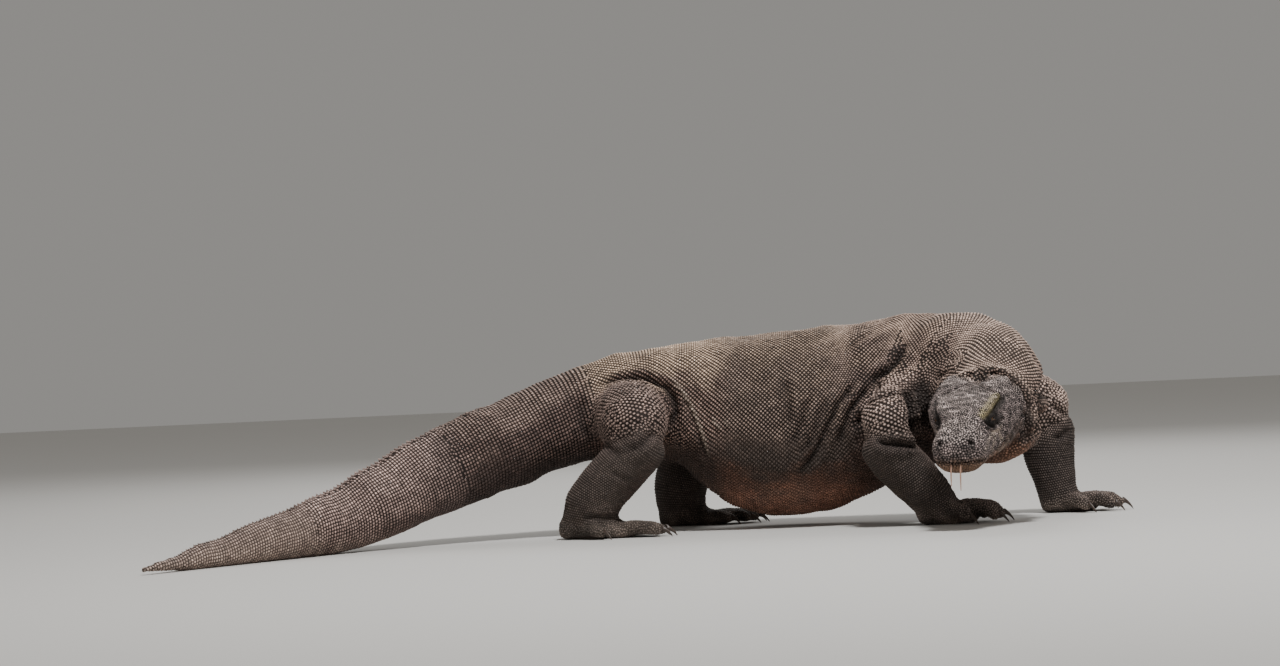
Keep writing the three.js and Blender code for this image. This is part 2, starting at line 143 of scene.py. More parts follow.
def faded_ends(share: Array, reach: float) -> Array:
    """A share of 1 along a line that fades to 0 over the given reach at both its ends."""
    return smooth_share(share, 0, reach) * smooth_share(share, 1, 1 - reach)


def unit(rows: Array) -> Array:
    """Rows of vectors, each brought to length 1."""
    return rows / np.maximum(np.linalg.norm(rows, axis=-1, keepdims=True), TINY)


def norms(rows: Array) -> Array:
    """The length of each row's vector."""
    return np.linalg.norm(rows, axis=1)


def on_left(rows: Array) -> Array:
    """Rows of the head's frame, with those of its right half mirrored to its left."""
    return rows * [1, 0, 1] + np.abs(rows) * [0, 1, 0]


def value_for(name: str, table: ByEnding) -> float:
    """The value that a table gives a node, by the first ending that fits its name."""
    return next(value for ending, value in table if name.endswith(ending))


def read_all(items: bpy.types.bpy_prop_collection, name: str, columns: int = 1, kind: type = float) -> Array:
    """Reads one property of all vertices, edges, faces or corners of a mesh.

    Args:
        items: The mesh's collection of them.
        name: The property's name.
        columns: How many numbers each has.
        kind: The numbers' type.

    Returns:
        The numbers, in rows where there are several columns.
    """
    values = np.empty(len(items) * columns, kind)
    items.foreach_get(name, values)
    return values.reshape(-1, columns) if columns > 1 else values


def tree_of(places: Array) -> KDTree:
    """A tree in which the nearest of many places is found."""
    tree = KDTree(max(len(places), 1))
    for i, place in enumerate(places):
        tree.insert(place, i)
    tree.balance()
    return tree


class SoftNoise:
    """A smooth random field, made of sine waves that cross each other."""

    WAVES = 14

    def __init__(self, size: float, seed: int) -> None:
        """Draws the waves.

        Args:
            size: About how far apart the field's bumps are, in millimetres.
            seed: Picks one of the possible fields.
        """
        draw = np.random.default_rng(seed)
        ways = unit(draw.normal(size=(self.WAVES, 3)))
        self.waves = ways * (2 * math.pi / (size * MM * draw.uniform(0.7, 1.6, (self.WAVES, 1))))
        self.phases = draw.uniform(0, 2 * math.pi, self.WAVES)

    def __call__(self, places: Array) -> Array:
        """The field at each place, mostly between -1 and 1."""
        return np.sin(places @ self.waves.T + self.phases).sum(axis=1) / math.sqrt(self.WAVES)


class Route:
    """A smooth line through the middle of a part of the body, walked by distance."""

    STEPS = 24  # between two points
    STEEP = 0.9  # the rise of a line that starts too steeply for its frames to stand upright

    def __init__(self, points: list[Point], carried: bool = False) -> None:
        """Lays the line.

        Args:
            points: The line's points in millimetres.
            carried: True where the line turns too steeply for its frames to stay upright, so that
                each frame is carried on from the one before.
        """
        knots = np.array(points, float) * MM
        padded = np.vstack([2 * knots[0] - knots[1], knots, 2 * knots[-1] - knots[-2]])
        share = np.linspace(0, 1, self.STEPS, endpoint=False)[:, None]
        spans = []
        for a, b, c, d in zip(padded, padded[1:], padded[2:], padded[3:]):
            bend, twist = 2 * a - 5 * b + 4 * c - d, 3 * b - 3 * c + d - a
            spans.append(0.5 * (2 * b + (c - a) * share + bend * share**2 + twist * share**3))
        self.places = np.vstack([*spans, knots[-1:]])
        gaps = norms(np.diff(self.places, axis=0))
        self.distances = np.concatenate([[0], np.cumsum(gaps)])
        self.tangents = unit(np.gradient(self.places, axis=0))
        up = np.array([0.0, 0.0, 1.0] if abs(self.tangents[0, 2]) < self.STEEP else [0.0, 1.0, 0.0])
        ups = []
        for tangent in self.tangents:
            level = up - tangent * (up @ tangent)
            level /= np.linalg.norm(level)
            ups.append(level)
            up = level if carried else up
        self.ups = np.array(ups)
        self.sides = np.cross(self.ups, self.tangents)
        self.tree = tree_of(self.places)

    @property
    def length(self) -> float:
        """The line's whole length in metres."""
        return float(self.distances[-1])

    def read(self, rows: Array, distances: Array) -> Array:
        """Rows of this line's vectors, read at distances along it."""
        return np.stack([np.interp(distances, self.distances, rows[:, k]) for k in range(3)], axis=-1)

    def nearest(self, places: Array) -> Array:
        """The numbers of the line's own points that are nearest to places."""
        return np.array([self.tree.find(place)[1] for place in places])

    def locate(self, places: Array) -> tuple[Array, Array, Array]:
        """Finds where places lie along and round the line.

        Args:
            places: Places in metres.

        Returns:
            The distance along the line, the angle from its top towards the animal's left in radians,
            and the distance from it.
        """
        near = self.nearest(places)
        offsets = places - self.places[near]
        along = self.distances[near] + (offsets * self.tangents[near]).sum(axis=1)
        up = (offsets * self.ups[near]).sum(axis=1)
        side = (offsets * self.sides[near]).sum(axis=1)
        return along, np.arctan2(side, up), np.hypot(side, up)

    def mirrored(self, places: Array) -> Array:
        """The same places on the other side of the upright plane along the line."""
        near = self.nearest(places)
        side = ((places - self.places[near]) * self.sides[near]).sum(axis=1, keepdims=True)
        return places - 2 * side * self.sides[near]


def add_node(tree: NodeTree, kind: str, settings: dict | None = None, links: dict | None = None) -> Node:
    """Adds a node with its settings and links.

    Args:
        tree: The node tree.
        kind: The shader node's type.
        settings: Values for its inputs, by name or number, or else for its own properties.
        links: For an input by name or number, the node and its output to link it from.

    Returns:
        The new node.
    """
    node = tree.nodes.new(f"ShaderNode{kind}")
    for key, value in (settings or {}).items():
        if isinstance(key, str) and hasattr(node, key):
            setattr(node, key, value)
    for key, value in (settings or {}).items():
        if not (isinstance(key, str) and hasattr(node, key)):
            node.inputs[key].default_value = value
    for key, (source, output) in (links or {}).items():
        tree.links.new(source.outputs[output], node.inputs[key])
    return node


def mesh_of(name: str, made: bmesh.types.BMesh) -> Mesh:
    """Turns finished modelling into a mesh of its own."""
    mesh = bpy.data.meshes.new(name)
    made.to_mesh(mesh)
    made.free()
    return mesh


def new_object(name: str, mesh: Mesh, material: Material) -> Object:
    """Puts a mesh in the scene as a smooth object.

    Args:
        name: The object's name.
        mesh: Its mesh.
        material: Its one material.

    Returns:
        The object.
    """
    piece = bpy.data.objects.new(name, mesh)
    bpy.context.scene.collection.objects.link(piece)
    mesh.materials.append(material)
    mesh.polygons.foreach_set("use_smooth", np.ones(len(mesh.polygons), bool))
    return piece


def put_on_body(piece: Object, slot: str, *nodes: str) -> None:
    """Makes a finished piece ride on the model's one body.

    Args:
        piece: The piece.
        slot: Its material slot; not used.
        nodes: The solids that it stands for.
    """
    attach(piece, "root")
    if nodes:
        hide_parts(*nodes)
    LOG.info("%s: %d faces", piece.name, len(piece.data.polygons))


# --- the body's plan


@dataclass(frozen=True)
class Leg:
    """One leg."""

    upper: str  # the node above the knee or elbow
    lower: str  # the node below it
    foot: str  # the node of the foot or hand
    line: Line  # the line down the leg's middle, in millimetres
    face: Line  # the line down its outer face that its scales are counted along


@dataclass
class BodyPlan:
    """The lines and frames that folds, markings and scales are laid out by."""

    spine_line: Line = (
        (-992, -528, 10), (-876, -363, 24), (-716, -141, 48), (-636, -43, 66), (-536, 54, 107),
        (-436, 129, 150), (-326, 189, 187), (-226, 225, 221), (-136, 245, 243), (-46, 255, 252),
        (39, 257, 246), (174, 255, 236), (374, 241, 238), (474, 224, 250), (559, 197, 261),
        (624, 151, 270), (669, 85, 265), (688, 9, 249), (680, -59, 225), (664, -111, 206),
    )
    legs: tuple[Leg, ...] = (
        Leg(
            "right_thigh", "right_shin", "right_hind_foot",
            ((-58, 199, 248), (-54, 141, 246), (-46, 87, 236), (-34, 55, 208), (-66, 57, 156),
             (-110, 67, 108), (-138, 73, 66), (-150, 75, 20)),
            ((-38, 140, 326), (-31, 92, 308), (-28, 45, 288), (-33, 20, 264), (-46, 9, 236),
             (-68, 12, 209), (-94, 18, 181), (-120, 21, 150), (-146, 23, 114), (-164, 27, 78),
             (-172, 32, 41)),
        ),
        Leg(
            "left_thigh", "left_shin", "left_hind_foot",
            ((-52, 311, 246), (-12, 371, 238), (32, 415, 226), (66, 440, 204), (64, 442, 150),
             (53, 443, 108), (46, 444, 70), (44, 445, 20)),
            ((-30, 330, 300), (10, 365, 280), (46, 385, 246), (66, 392, 204), (66, 394, 150),
             (54, 396, 108), (46, 398, 70), (44, 400, 36)),
        ),
        Leg(
            "right_upper_arm", "right_forearm", "right_hand",
            ((560, 123, 262), (526, 77, 250), (490, 29, 226), (461, 1, 188), (480, 5, 138),
             (516, 11, 98), (548, 17, 64), (568, 21, 20)),
            ((512, 48, 312), (487, 0, 282), (468, -26, 258), (452, -38, 236), (441, -40, 212),
             (434, -38, 190), (434, -40, 168), (444, -43, 144), (463, -41, 117), (486, -32, 84),
             (510, -18, 49), (522, -12, 28)),
        ),
        Leg(
            "left_upper_arm", "left_forearm", "left_hand",
            ((668, 225, 262), (726, 257, 256), (782, 279, 238), (824, 292, 202), (823, 291, 146),
             (826, 291, 106), (834, 289, 70), (838, 287, 20)),
            ((768, 196, 304), (800, 216, 282), (824, 232, 250), (836, 238, 215), (838, 240, 178),
             (832, 240, 143), (833, 242, 112), (836, 243, 80), (843, 246, 44)),
        ),
    )
    head_at: Point = (656, -83, 247)
    head_turn: Point = (-0.4, 22.5, -109.7)  # roll, pitch and heading in degrees
    head_line: Pair = (-40, 250)  # how far the head's own axis runs
    foot_line: float = 20.0  # height of the line through a foot

    def __post_init__(self) -> None:
        """Lays the routes and finds which solid is where."""
        self.spine = Route(list(self.spine_line))
        self.leg_routes = [Route(list(leg.line), carried=True) for leg in self.legs]
        self.leg_faces = [Route(list(leg.face), carried=True) for leg in self.legs]
        turn = Euler([math.radians(a) for a in self.head_turn], "XYZ")
        self.head = Matrix.Translation(Vector(self.head_at) * MM) @ turn.to_matrix().to_4x4()
        ends = [tuple(self.head @ Vector((x * MM, 0, 0)) / MM) for x in self.head_line]
        self.head_route = Route(ends, carried=True)
        self.foot_routes = []
        for leg in self.legs:
            low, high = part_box(leg.foot)
            middle = (low.y + high.y) / 2
            self.foot_routes.append(Route([(x / MM, middle / MM, self.foot_line) for x in (low.x, high.x)]))
        self.leg_nodes = tuple(name for leg in self.legs for name in (leg.upper, leg.lower, leg.foot))
        self.flesh = [*SPINE_NODES, *HEAD_NODES, *self.leg_nodes]
        routes = {name: self.spine for name in SPINE_NODES} | dict.fromkeys(HEAD_NODES, self.head_route)
        for leg, route, foot_route in zip(self.legs, self.leg_routes, self.foot_routes):
            routes |= {leg.upper: route, leg.lower: route, leg.foot: foot_route}
        self.route_of = [routes[name] for name in self.flesh]

    def node_numbers(self, *names: str) -> Array:
        """The numbers that nodes of flesh go by in this plan."""
        return np.array([self.flesh.index(name) for name in names])

    def in_head(self, places: Array) -> Array:
        """Places in the head's own frame, in millimetres: forward, to its left and up."""
        inverse = np.array(self.head.inverted())
        return (places @ inverse[:3, :3].T + inverse[:3, 3]) / MM

    def from_head(self, rows: Array) -> Array:
        """Rows in the head's own frame, in millimetres, as places in metres."""
        matrix = np.array(self.head)
        return (np.asarray(rows, float) * MM) @ matrix[:3, :3].T + matrix[:3, 3]


class Surface:
    """A mesh that can be searched for its nearest point, with one number for each of its faces."""

    def __init__(self, mesh: Mesh, numbers: Array | None = None) -> None:
        """Reads a mesh.

        Args:
            mesh: The mesh, which stays as it is.
            numbers: A number for each face, such as which solid it belongs to.
        """
        places = read_all(mesh.vertices, "co", 3)
        self.loop_vertices = read_all(mesh.loops, "vertex_index", kind=np.int64)
        self.sides = read_all(mesh.polygons, "loop_total", kind=np.int64)
        self.loop_faces = np.repeat(np.arange(len(self.sides)), self.sides)
        starts = np.concatenate([[0], np.cumsum(self.sides)])
        corners = self.loop_vertices.tolist()
        polygons = [corners[a:b] for a, b in zip(starts, starts[1:])]
        self.tree = BVHTree.FromPolygons(places.tolist(), polygons)
        self.numbers = numbers
        self.face_normals = unit(self.over_faces(read_all(mesh.vertices, "normal", 3)))

    def over_faces(self, values: Array) -> Array:
        """Brings values held by vertices to the faces.

        Args:
            values: A number or a row for each vertex.

        Returns:
            Their mean over each face.
        """
        columns = values.reshape(len(values), -1)
        count = len(self.sides)
        sums = [np.bincount(self.loop_faces, column[self.loop_vertices], count) for column in columns.T]
        return (np.stack(sums, axis=-1) / self.sides[:, None]).reshape((count, *values.shape[1:]))

    def nearest(self, places: Array) -> tuple[Array, Array]:
        """Finds the nearest point of the surface to each place.

        Args:
            places: Places in metres.

        Returns:
            The nearest points, and the number of the face that each lies on.
        """
        found = [self.tree.find_nearest(place) for place in places]
        return np.array([hit[0] for hit in found]), np.array([hit[2] for hit in found])


def flesh_copy(plan: BodyPlan, nodes: dict[str, Object], grow: float) -> tuple[Mesh, Array]:
    """Joins merged copies of the solids of flesh.

    Args:
        plan: The body's plan.
        nodes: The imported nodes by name.
        grow: How far each copy is grown, in metres, so that neighbours meet.

    Returns:
        The joined mesh, and the number of each face's node.
    """
    joined = bmesh.new()
    owner = joined.faces.layers.int.new("owner")
    for number, name in enumerate(plan.flesh):
        faces, corners = len(joined.faces), len(joined.verts)
        joined.from_mesh(nodes[name].data)
        joined.verts.ensure_lookup_table()
        joined.faces.ensure_lookup_table()
        for face in joined.faces[faces:]:
            face[owner] = number
        bmesh.ops.remove_doubles(joined, verts=joined.verts[corners:], dist=WELD)
    joined.normal_update()
    for vertex in joined.verts:
        vertex.co += vertex.normal * grow
    owners = np.array([face[owner] for face in joined.faces])
    return mesh_of("flesh", joined), owners


# --- folds and features of the hide


@dataclass(frozen=True)
class Fold:
    """A crease or a ridge that runs along the hide."""

    points: Line  # places it passes, in millimetres
    depth: float  # how deep the crease is, or how high where it is negative
    width: float  # how wide it is, to a third of its depth
    lip: float = 0.0  # how high the hide swells beside it
    mirrored: bool = True  # true where the other side of the body has it too


FOLDS = (
    # the deep hollow between upper arm and neck, and the crease that goes on round the arm's outer side
    Fold(((505, 50, 312), (513, 22, 300), (519, 0, 282), (524, -10, 264), (529, -15, 245),
          (531, -18, 225), (530, -18, 206), (540, 10, 190), (549, 64, 182)), 36, 18),
    Fold(((522, 60, 312), (536, 34, 300), (550, 16, 280), (554, 8, 254), (556, 15, 226),
          (560, 34, 196), (563, 80, 172)), 24, 14),
    Fold(((402, 76, 190), (410, 76, 212), (424, 40, 236), (444, 4, 256), (472, -8, 270), (498, -4, 277),
          (516, 2, 282)), 13, 7.5, 2),
    # the arcs behind the shoulder
    Fold(((524, 93, 375), (508, 86, 351), (496, 80, 329), (473, 79, 315), (450, 80, 306),
          (444, 76, 271)), 9, 8, 4),
    Fold(((454, 145, 398), (428, 131, 383), (400, 121, 366)), 4, 8, 2),
    Fold(((502, 75, 320), (477, 77, 309), (456, 78, 298), (441, 4, 259)), 7, 6, 2),
    # long folds that fan out behind the arm down the ribs
    Fold(((424, 84, 307), (398, 79, 280), (376, 77, 254), (349, 73, 208), (324, 80, 158),
          (282, 102, 105)), 8, 8, 4),
    Fold(((446, 79, 296), (419, 76, 266), (397, 74, 239), (381, 75, 198), (369, 80, 158)), 8, 8, 4),
    Fold(((353, 80, 275), (345, 78, 257), (337, 76, 233), (322, 76, 196), (296, 82, 150)), 6, 7, 4),
    Fold(((318, 82, 271), (306, 80, 249), (300, 79, 231), (293, 77, 213), (281, 78, 188),
          (275, 82, 166)), 6, 7, 3),
    Fold(((266, 104, 314), (272, 90, 276), (273, 85, 245), (272, 81, 229), (272, 81, 209)), 5, 8, 3),
    # ridges beside the groin with a painted highlight along them, and the crease round the thigh
    Fold(((28, 145, 329), (52, 128, 299), (74, 118, 257), (92, 116, 202), (111, 128, 147)), -4.5, 3.4),
    Fold(((113, 107, 236), (121, 104, 222), (131, 102, 209)), -3, 3.4),
    Fold(((137, 102, 231), (143, 99, 223), (149, 97, 216)), -3, 3.4),
    Fold(((44, 128, 300), (66, 118, 262), (84, 116, 210), (100, 126, 150)), 5, 6, 1),
    Fold(((-130, 166, 300), (-111, 159, 318), (-86, 158, 323), (-59, 156, 325), (-16, 148, 321),
          (23, 134, 304), (40, 127, 273), (41, 126, 250), (27, 134, 221), (14, 130, 190)), 11, 9, 4),
    Fold(((-150, 160, 290), (-156, 158, 250), (-140, 150, 200)), 6, 9, 2),
    Fold(((-163, 29, 46), (-128, 26, 47), (-92, 51, 46)), 4, 5, 2, False),
    Fold(((-99, 10, 140), (-80, 11, 128), (-60, 14, 118)), 3, 6, 1.5, False),
    Fold(((-4, 29, 217), (-36, -1, 189), (-67, 5, 176)), 6, 8, 3, False),
    Fold(((-106, 70, 196), (-92, 20, 176), (-67, 5, 166)), 4, 8, 2, False),
    # folds of the neck behind the jaw
    Fold(((708, -110, 306), (719, -126, 286), (730, -130, 262), (735, -132, 237), (734, -131, 215),
          (726, -128, 176)), 9, 7, 4),
    Fold(((744, -126, 255), (748, -132, 223), (744, -135, 187), (727, -129, 156)), 7, 6, 3, False),
    Fold(((779, -41, 301), (780, -67, 254), (769, -95, 205), (756, -39, 154)), 9, 8, 4),
    Fold(((791, 2, 293), (773, -78, 267), (766, -103, 213), (744, -128, 175), (725, -128, 152)),
         6, 8, 3, False),
    Fold(((597, -21, 313), (584, -2, 304), (574, 14, 295)), 5, 7, 3, False),
    # the elbows and the far shoulder
    Fold(((828, 237, 155), (848, 243, 165), (867, 256, 176)), 6, 7, 3, False),
    Fold(((824, 228, 233), (846, 238, 214), (862, 253, 206)), 6, 7, 4, False),
    Fold(((440, -30, 176), (458, -51, 172), (480, -47, 169), (499, -42, 166), (523, -19, 162),
          (532, -2, 157)), 9, 7, 5, False),
)


@dataclass(frozen=True)
class Wrinkles:
    """Fine folds that cross a part of the body, side by side."""

    centre: Point  # the middle of the wrinkled place, in millimetres
    reach: float  # how far it spreads
    across: Point  # the way from each wrinkle to the next
    spacing: float  # how far apart they are
    height: float  # how high each stands


WRINKLES = (
    Wrinkles((740, -120, 230), 60, (1, 0.35, 0), 15, 1.8),
    Wrinkles((600, -20, 230), 60, (0.6, 1, 0), 17, 1.6),
    Wrinkles((500, 84, 270), 60, (1, 0, -0.5), 19, 1.5),
    Wrinkles((400, 82, 200), 90, (1, 0, 0.2), 24, 1.6),
    Wrinkles((60, 130, 190), 60, (1, 0.2, 0.5), 17, 1.8),
    Wrinkles((488, -30, 160), 45, (0.3, 0, 1), 12, 1.4),
    Wrinkles((850, 260, 165), 45, (0.2, 0, 1), 13, 1.4),
    Wrinkles((560, 10, 60), 45, (0.4, 0, 1), 11, 1.3),
    Wrinkles((840, 290, 60), 45, (0, 0, 1), 11, 1.3),
    Wrinkles((-60, 30, 190), 50, (0.5, 0, 1), 14, 1.4),
    Wrinkles((-130, 70, 60), 50, (0.3, 0, 1), 11, 1.3),
    Wrinkles((50, 444, 60), 50, (0, 0, 1), 11, 1.3),
)


def line_distance(places: Array, line: Array) -> tuple[Array, Array]:
    """Measures how far places lie from a line of points.

    Args:
        places: Places in metres.
        line: The line's points in metres.

    Returns:
        Each place's distance to the line, and how far along the line that is, from 0 to 1.
    """
    best = np.full(len(places), np.inf)
    share = np.zeros(len(places))
    lengths = norms(np.diff(line, axis=0))
    starts = np.concatenate([[0], np.cumsum(lengths)])
    for start, end, length, begun in zip(line, line[1:], lengths, starts):
        along = np.clip((places - start) @ (end - start) / length**2, 0, 1)
        gap = norms(places - start - along[:, None] * (end - start))
        nearer = gap < best
        best[nearer] = gap[nearer]
        share[nearer] = (begun + along[nearer] * length) / starts[-1]
    return best, share


def seated(points: Line, surface: Surface) -> Array:
    """Lays a line of points down on a surface.

    Args:
        points: The line's points in millimetres.
        surface: The surface.

    Returns:
        The line with more points, all on the surface, in metres.
    """
    knots = np.array(points, float) * MM
    gaps = np.concatenate([[0], np.cumsum(norms(np.diff(knots, axis=0)))])
    marks = np.linspace(0, gaps[-1], max(2, math.ceil(gaps[-1] / NEAR_STEP)))
    line = np.stack([np.interp(marks, gaps, knots[:, k]) for k in range(3)], axis=-1)
    return surface.nearest(line)[0]


@dataclass(frozen=True)
class Opening:
    """A hole in the hide of the head with a rim round it."""

    place: Point  # its middle in the head's frame, in millimetres
    squeeze: Point  # how far it is drawn in along each axis
    depth: float  # how deep it is
    width: float  # how wide it is, to a third of its depth
    rim: Point  # the rim's height, radius and width

    def gap(self, half: Array) -> Array:
        """How far places on the head's left are from its middle, by its own measure."""
        return norms((half - self.place) * self.squeeze)

    def rise(self, half: Array) -> Array:
        """How far it raises the hide at places on the head's left."""
        gap = self.gap(half)
        height, radius, width = self.rim
        return height * bell(gap - radius, width) - self.depth * bell(gap, self.width)


@dataclass
class HeadFeatures:
    """Lids, nostrils, ears, lips and folds of the head, in the head's own frame in millimetres."""

    eye: Point = (142, 50, 27)
    ball: float = 10.5  # radius of the eyeball
    gaze: Point = (0.3, 0.92, 0.22)
    slit: Point = (9.6, 2.8, 4.6)  # between the lids: half length, height above and depth below
    lid: float = 1.6  # how far the lids stand off the eyeball
    lid_edge: Point = (0.9, 1.3, 0.2)  # thickness of the lids' edge, its place and its width in slits
    lid_turn: Pair = (50, 95)  # degrees from the gaze over which the lids part from the ball
    socket: float = 3.0  # how far the hide is drawn in behind the ball's surface in the slit
    nostril: Opening = Opening((238, 31, 18), (0.8, 1, 1.25), 9, 4.8, (2, 9, 3))
    ear: Opening = Opening((62, 88, -4), (1.5, 0.6, 0.8), 9, 6, (1.5, 12, 4))
    mouth: tuple[Pair, ...] = (
        (270, -17), (248, -17), (222, -25), (186, -36), (150, -38), (112, -30),
    )
    mouth_end: Pair = (104, 122)  # where the lips fade in behind the corner of the mouth
    groove: Pair = (4.2, 2.2)  # depth and width of the line between the lips
    lip: Point = (1.5, 6, 4)  # height of the lips, how far they are from the line, and their width
    labial: float = 10.0  # how far apart the scales of the lips are
    labial_wave: Point = (0.5, 5, 3.5)  # their height, how far they are from the line, and their width
    ridge: Pair = (7.5, 6)  # height and width of the brow
    wrinkle: Pair = (1.8, 2.4)  # height and width of a wrinkle of the cheeks
    brow: Line = (
        (78, 60, 53), (90, 58, 54), (104, 56, 53), (124, 53, 51), (142, 48, 47), (158, 42, 43),
        (170, 36, 42),
    )
    wrinkles: tuple[Line, ...] = (
        ((131, 66, 2), (153, 58, 0), (183, 52, -3), (214, 50, -7)),
        ((137, 63, -6), (131, 65, -24), (140, 58, -38)),
        ((104, 75, -32), (112, 68, -43), (122, 56, -54)),
        ((150, 58, -6), (158, 54, -20), (172, 48, -34)),
    )
    # the line under the brow along which painted shade is laid
    brow_shadow_line: Line = (
        (88, 66, 49), (110, 64, 48), (127, 60, 43), (145, 55, 36), (152, 52, 28), (146, 56, 17),
    )
    creases: tuple[Fold, ...] = (
        # the slit between brow and cheek, and the rim below the lower lid
        Fold(((84, 68, 46), (96, 64, 48), (121, 62, 45), (135, 59, 41)), 6, 4.5, 1),
        Fold(((168, 42, 34), (163, 46, 28), (156, 52, 18), (144, 58, 12), (130, 65, 12),
              (114, 71, 18)), 4.5, 3.4, 2),
        Fold(((178, 40, 30), (168, 47, 14), (152, 57, 2), (134, 66, -2)), 2, 4, 1),
        # behind the corner of the mouth
        Fold(((122, 72, -22), (108, 79, -32), (96, 82, -42), (86, 82, -58)), 4.5, 4, 2),
        Fold(((100, 86, -16), (88, 90, -24), (76, 92, -38)), 2.6, 4, 1.5),
        # round the bulges of the jaw muscles behind the crown, and the furrow between them
        Fold(((30, 6, 60), (52, 10, 62), (66, 26, 61), (80, 42, 59), (84, 58, 52), (72, 74, 44)),
             4.5, 5, 2),
        Fold(((84, 0, 63), (60, 0, 62), (30, 0, 58), (0, 0, 54), (-30, 0, 54)), 6, 8, 2),
        Fold(((-3, 25, 60), (8, 14, 54), (30, 14, 57)), 3, 6, 1),
        # the collar between head and neck
        Fold(((-2, 4, 54), (-5, 27, 61), (-5, 42, 62), (-1, 54, 57), (6, 64, 47), (30, 76, 40),
              (46, 84, 30), (49, 89, 14), (44, 91, -8), (34, 88, -27), (36, 86, -44), (36, 68, -66)),
             13, 6.5, 5),
        # the flat of the muzzle between its two edges
        Fold(((176, 38, 38), (196, 34, 34), (216, 32, 30)), -2, 6),
        Fold(((160, 0, 50), (190, 0, 40), (216, 0, 33)), 2.5, 12),
    )
    swellings: tuple[tuple[Point, float, float], ...] = (  # place, reach and height
        ((38, 50, 58), 24, 6),  # jaw muscles behind the crown
        ((92, 80, 14), 24, 4.5),  # cheek
        ((200, 48, -6), 26, 2.5),  # upper lip
        ((150, 66, -28), 20, 3),
    )

    def seat(self, plan: BodyPlan, surface: Surface) -> None:
        """Lays the lines of the brow, the wrinkles and the creases down on the skin.

        Args:
            plan: The body's plan.
            surface: The skin before it is shaped.
        """

        def down(points: Line) -> Array:
            """The line on the skin, in the head's frame."""
            return plan.in_head(seated(plan.from_head(np.array(points, float)) / MM, surface))

        self.brow = down(self.brow)
        self.wrinkles = tuple(down(line) for line in self.wrinkles)
        self.creases = tuple(replace(crease, points=down(crease.points)) for crease in self.creases)
        self.brow_shadow_line = down(self.brow_shadow_line)

    def lips(self, rows: Array) -> tuple[Array, Array]:
        """Measures places against the line of the mouth.

        Args:
            rows: Places in the head's frame, in millimetres.

        Returns:
            How far each is above the line, and how much of a lip there is at it, from 0 to 1.
        """
        ahead = [x for x, _ in self.mouth][::-1]
        levels = [z for _, z in self.mouth][::-1]
        over = rows[:, 2] - np.interp(rows[:, 0], ahead, levels)
        return over, smooth_share(rows[:, 0], *self.mouth_end)

    def shape(self, rows: Array, normals: Array) -> Array:
        """Moves the hide of the head into its features.

        Args:
            rows: Places in the head's frame, in millimetres.
            normals: The hide's outward ways there, in the same frame.

        Returns:
            The new places.
        """
        half = on_left(rows)
        rise = self.nostril.rise(half) + self.ear.rise(half)
        for crease in self.creases:
            gap, share = line_distance(half, crease.points)
            fade = faded_ends(share, 0.15)
            rise -= fade * crease.depth * bell(gap, crease.width)
            rise += fade * crease.lip * bell(gap - 1.9 * crease.width, crease.width)
        for place, reach, height in self.swellings:
            rise += height * bell(norms(half - place), reach)
        gap, share = line_distance(half, self.brow)
        height, width = self.ridge
        rise += height * faded_ends(share, 0.25) * bell(gap, width)
        height, width = self.wrinkle
        for line in self.wrinkles:
            rise += height * bell(line_distance(half, line)[0], width)
        over, lip = self.lips(rows)
        waves = np.cos(2 * math.pi * rows[:, 0] / self.labial)
        rise -= lip * self.groove[0] * bell(over, self.groove[1])
        for (height, off, width), share in ((self.lip, lip), (self.labial_wave, lip * waves)):
            rise += share * height * bell(np.abs(over) - off, width)
        return self.lids(rows + normals * rise[:, None], half, np.where(rows[:, 1:2] < 0, -1.0, 1.0))

    def lids(self, rows: Array, half: Array, side: Array) -> Array:
        """Draws the hide over the eyeball as two lids with a slit between them.

        Args:
            rows: Places in the head's frame, in millimetres.
            half: The same before the other features, with the left half's signs.
            side: 1 on the left and -1 on the right.

        Returns:
            The new places.
        """
        sides = np.hstack([np.ones_like(side), side, np.ones_like(side)])
        offset = rows * sides - self.eye
        out = unit(np.array(self.gaze))
        ahead = unit(np.array([1.0, 0.0, 0.0]) - out[0] * out)
        above = np.cross(ahead, out)
        above *= np.sign(above[2])
        distance = norms(offset)
        way = unit(offset)
        rim = self.ball + self.lid
        a, b = rim * way @ ahead, rim * way @ above
        length, high, low = self.slit
        reach = np.hypot(a / length, b / np.where(b > 0, high, low))  # 1 at the edge of the lids
        turned = np.degrees(np.arccos(np.clip(way @ out, -1, 1)))
        free = np.maximum(smooth_share(turned, *self.lid_turn), smooth_share(distance, rim + 1, rim + 8))
        thick, at, width = self.lid_edge
        over = rim + (np.maximum(distance, rim) - rim) * free + thick * bell(reach - at, width)
        inner = self.ball - self.socket
        radius = inner + (over - inner) * smooth_share(reach, 0.88, 1.02)
        weight = smooth_share(turned, 128, 108) * (norms(half - self.eye) < 40)
        return (self.eye + offset + weight[:, None] * (way * radius[:, None] - offset)) * sides


# --- markings


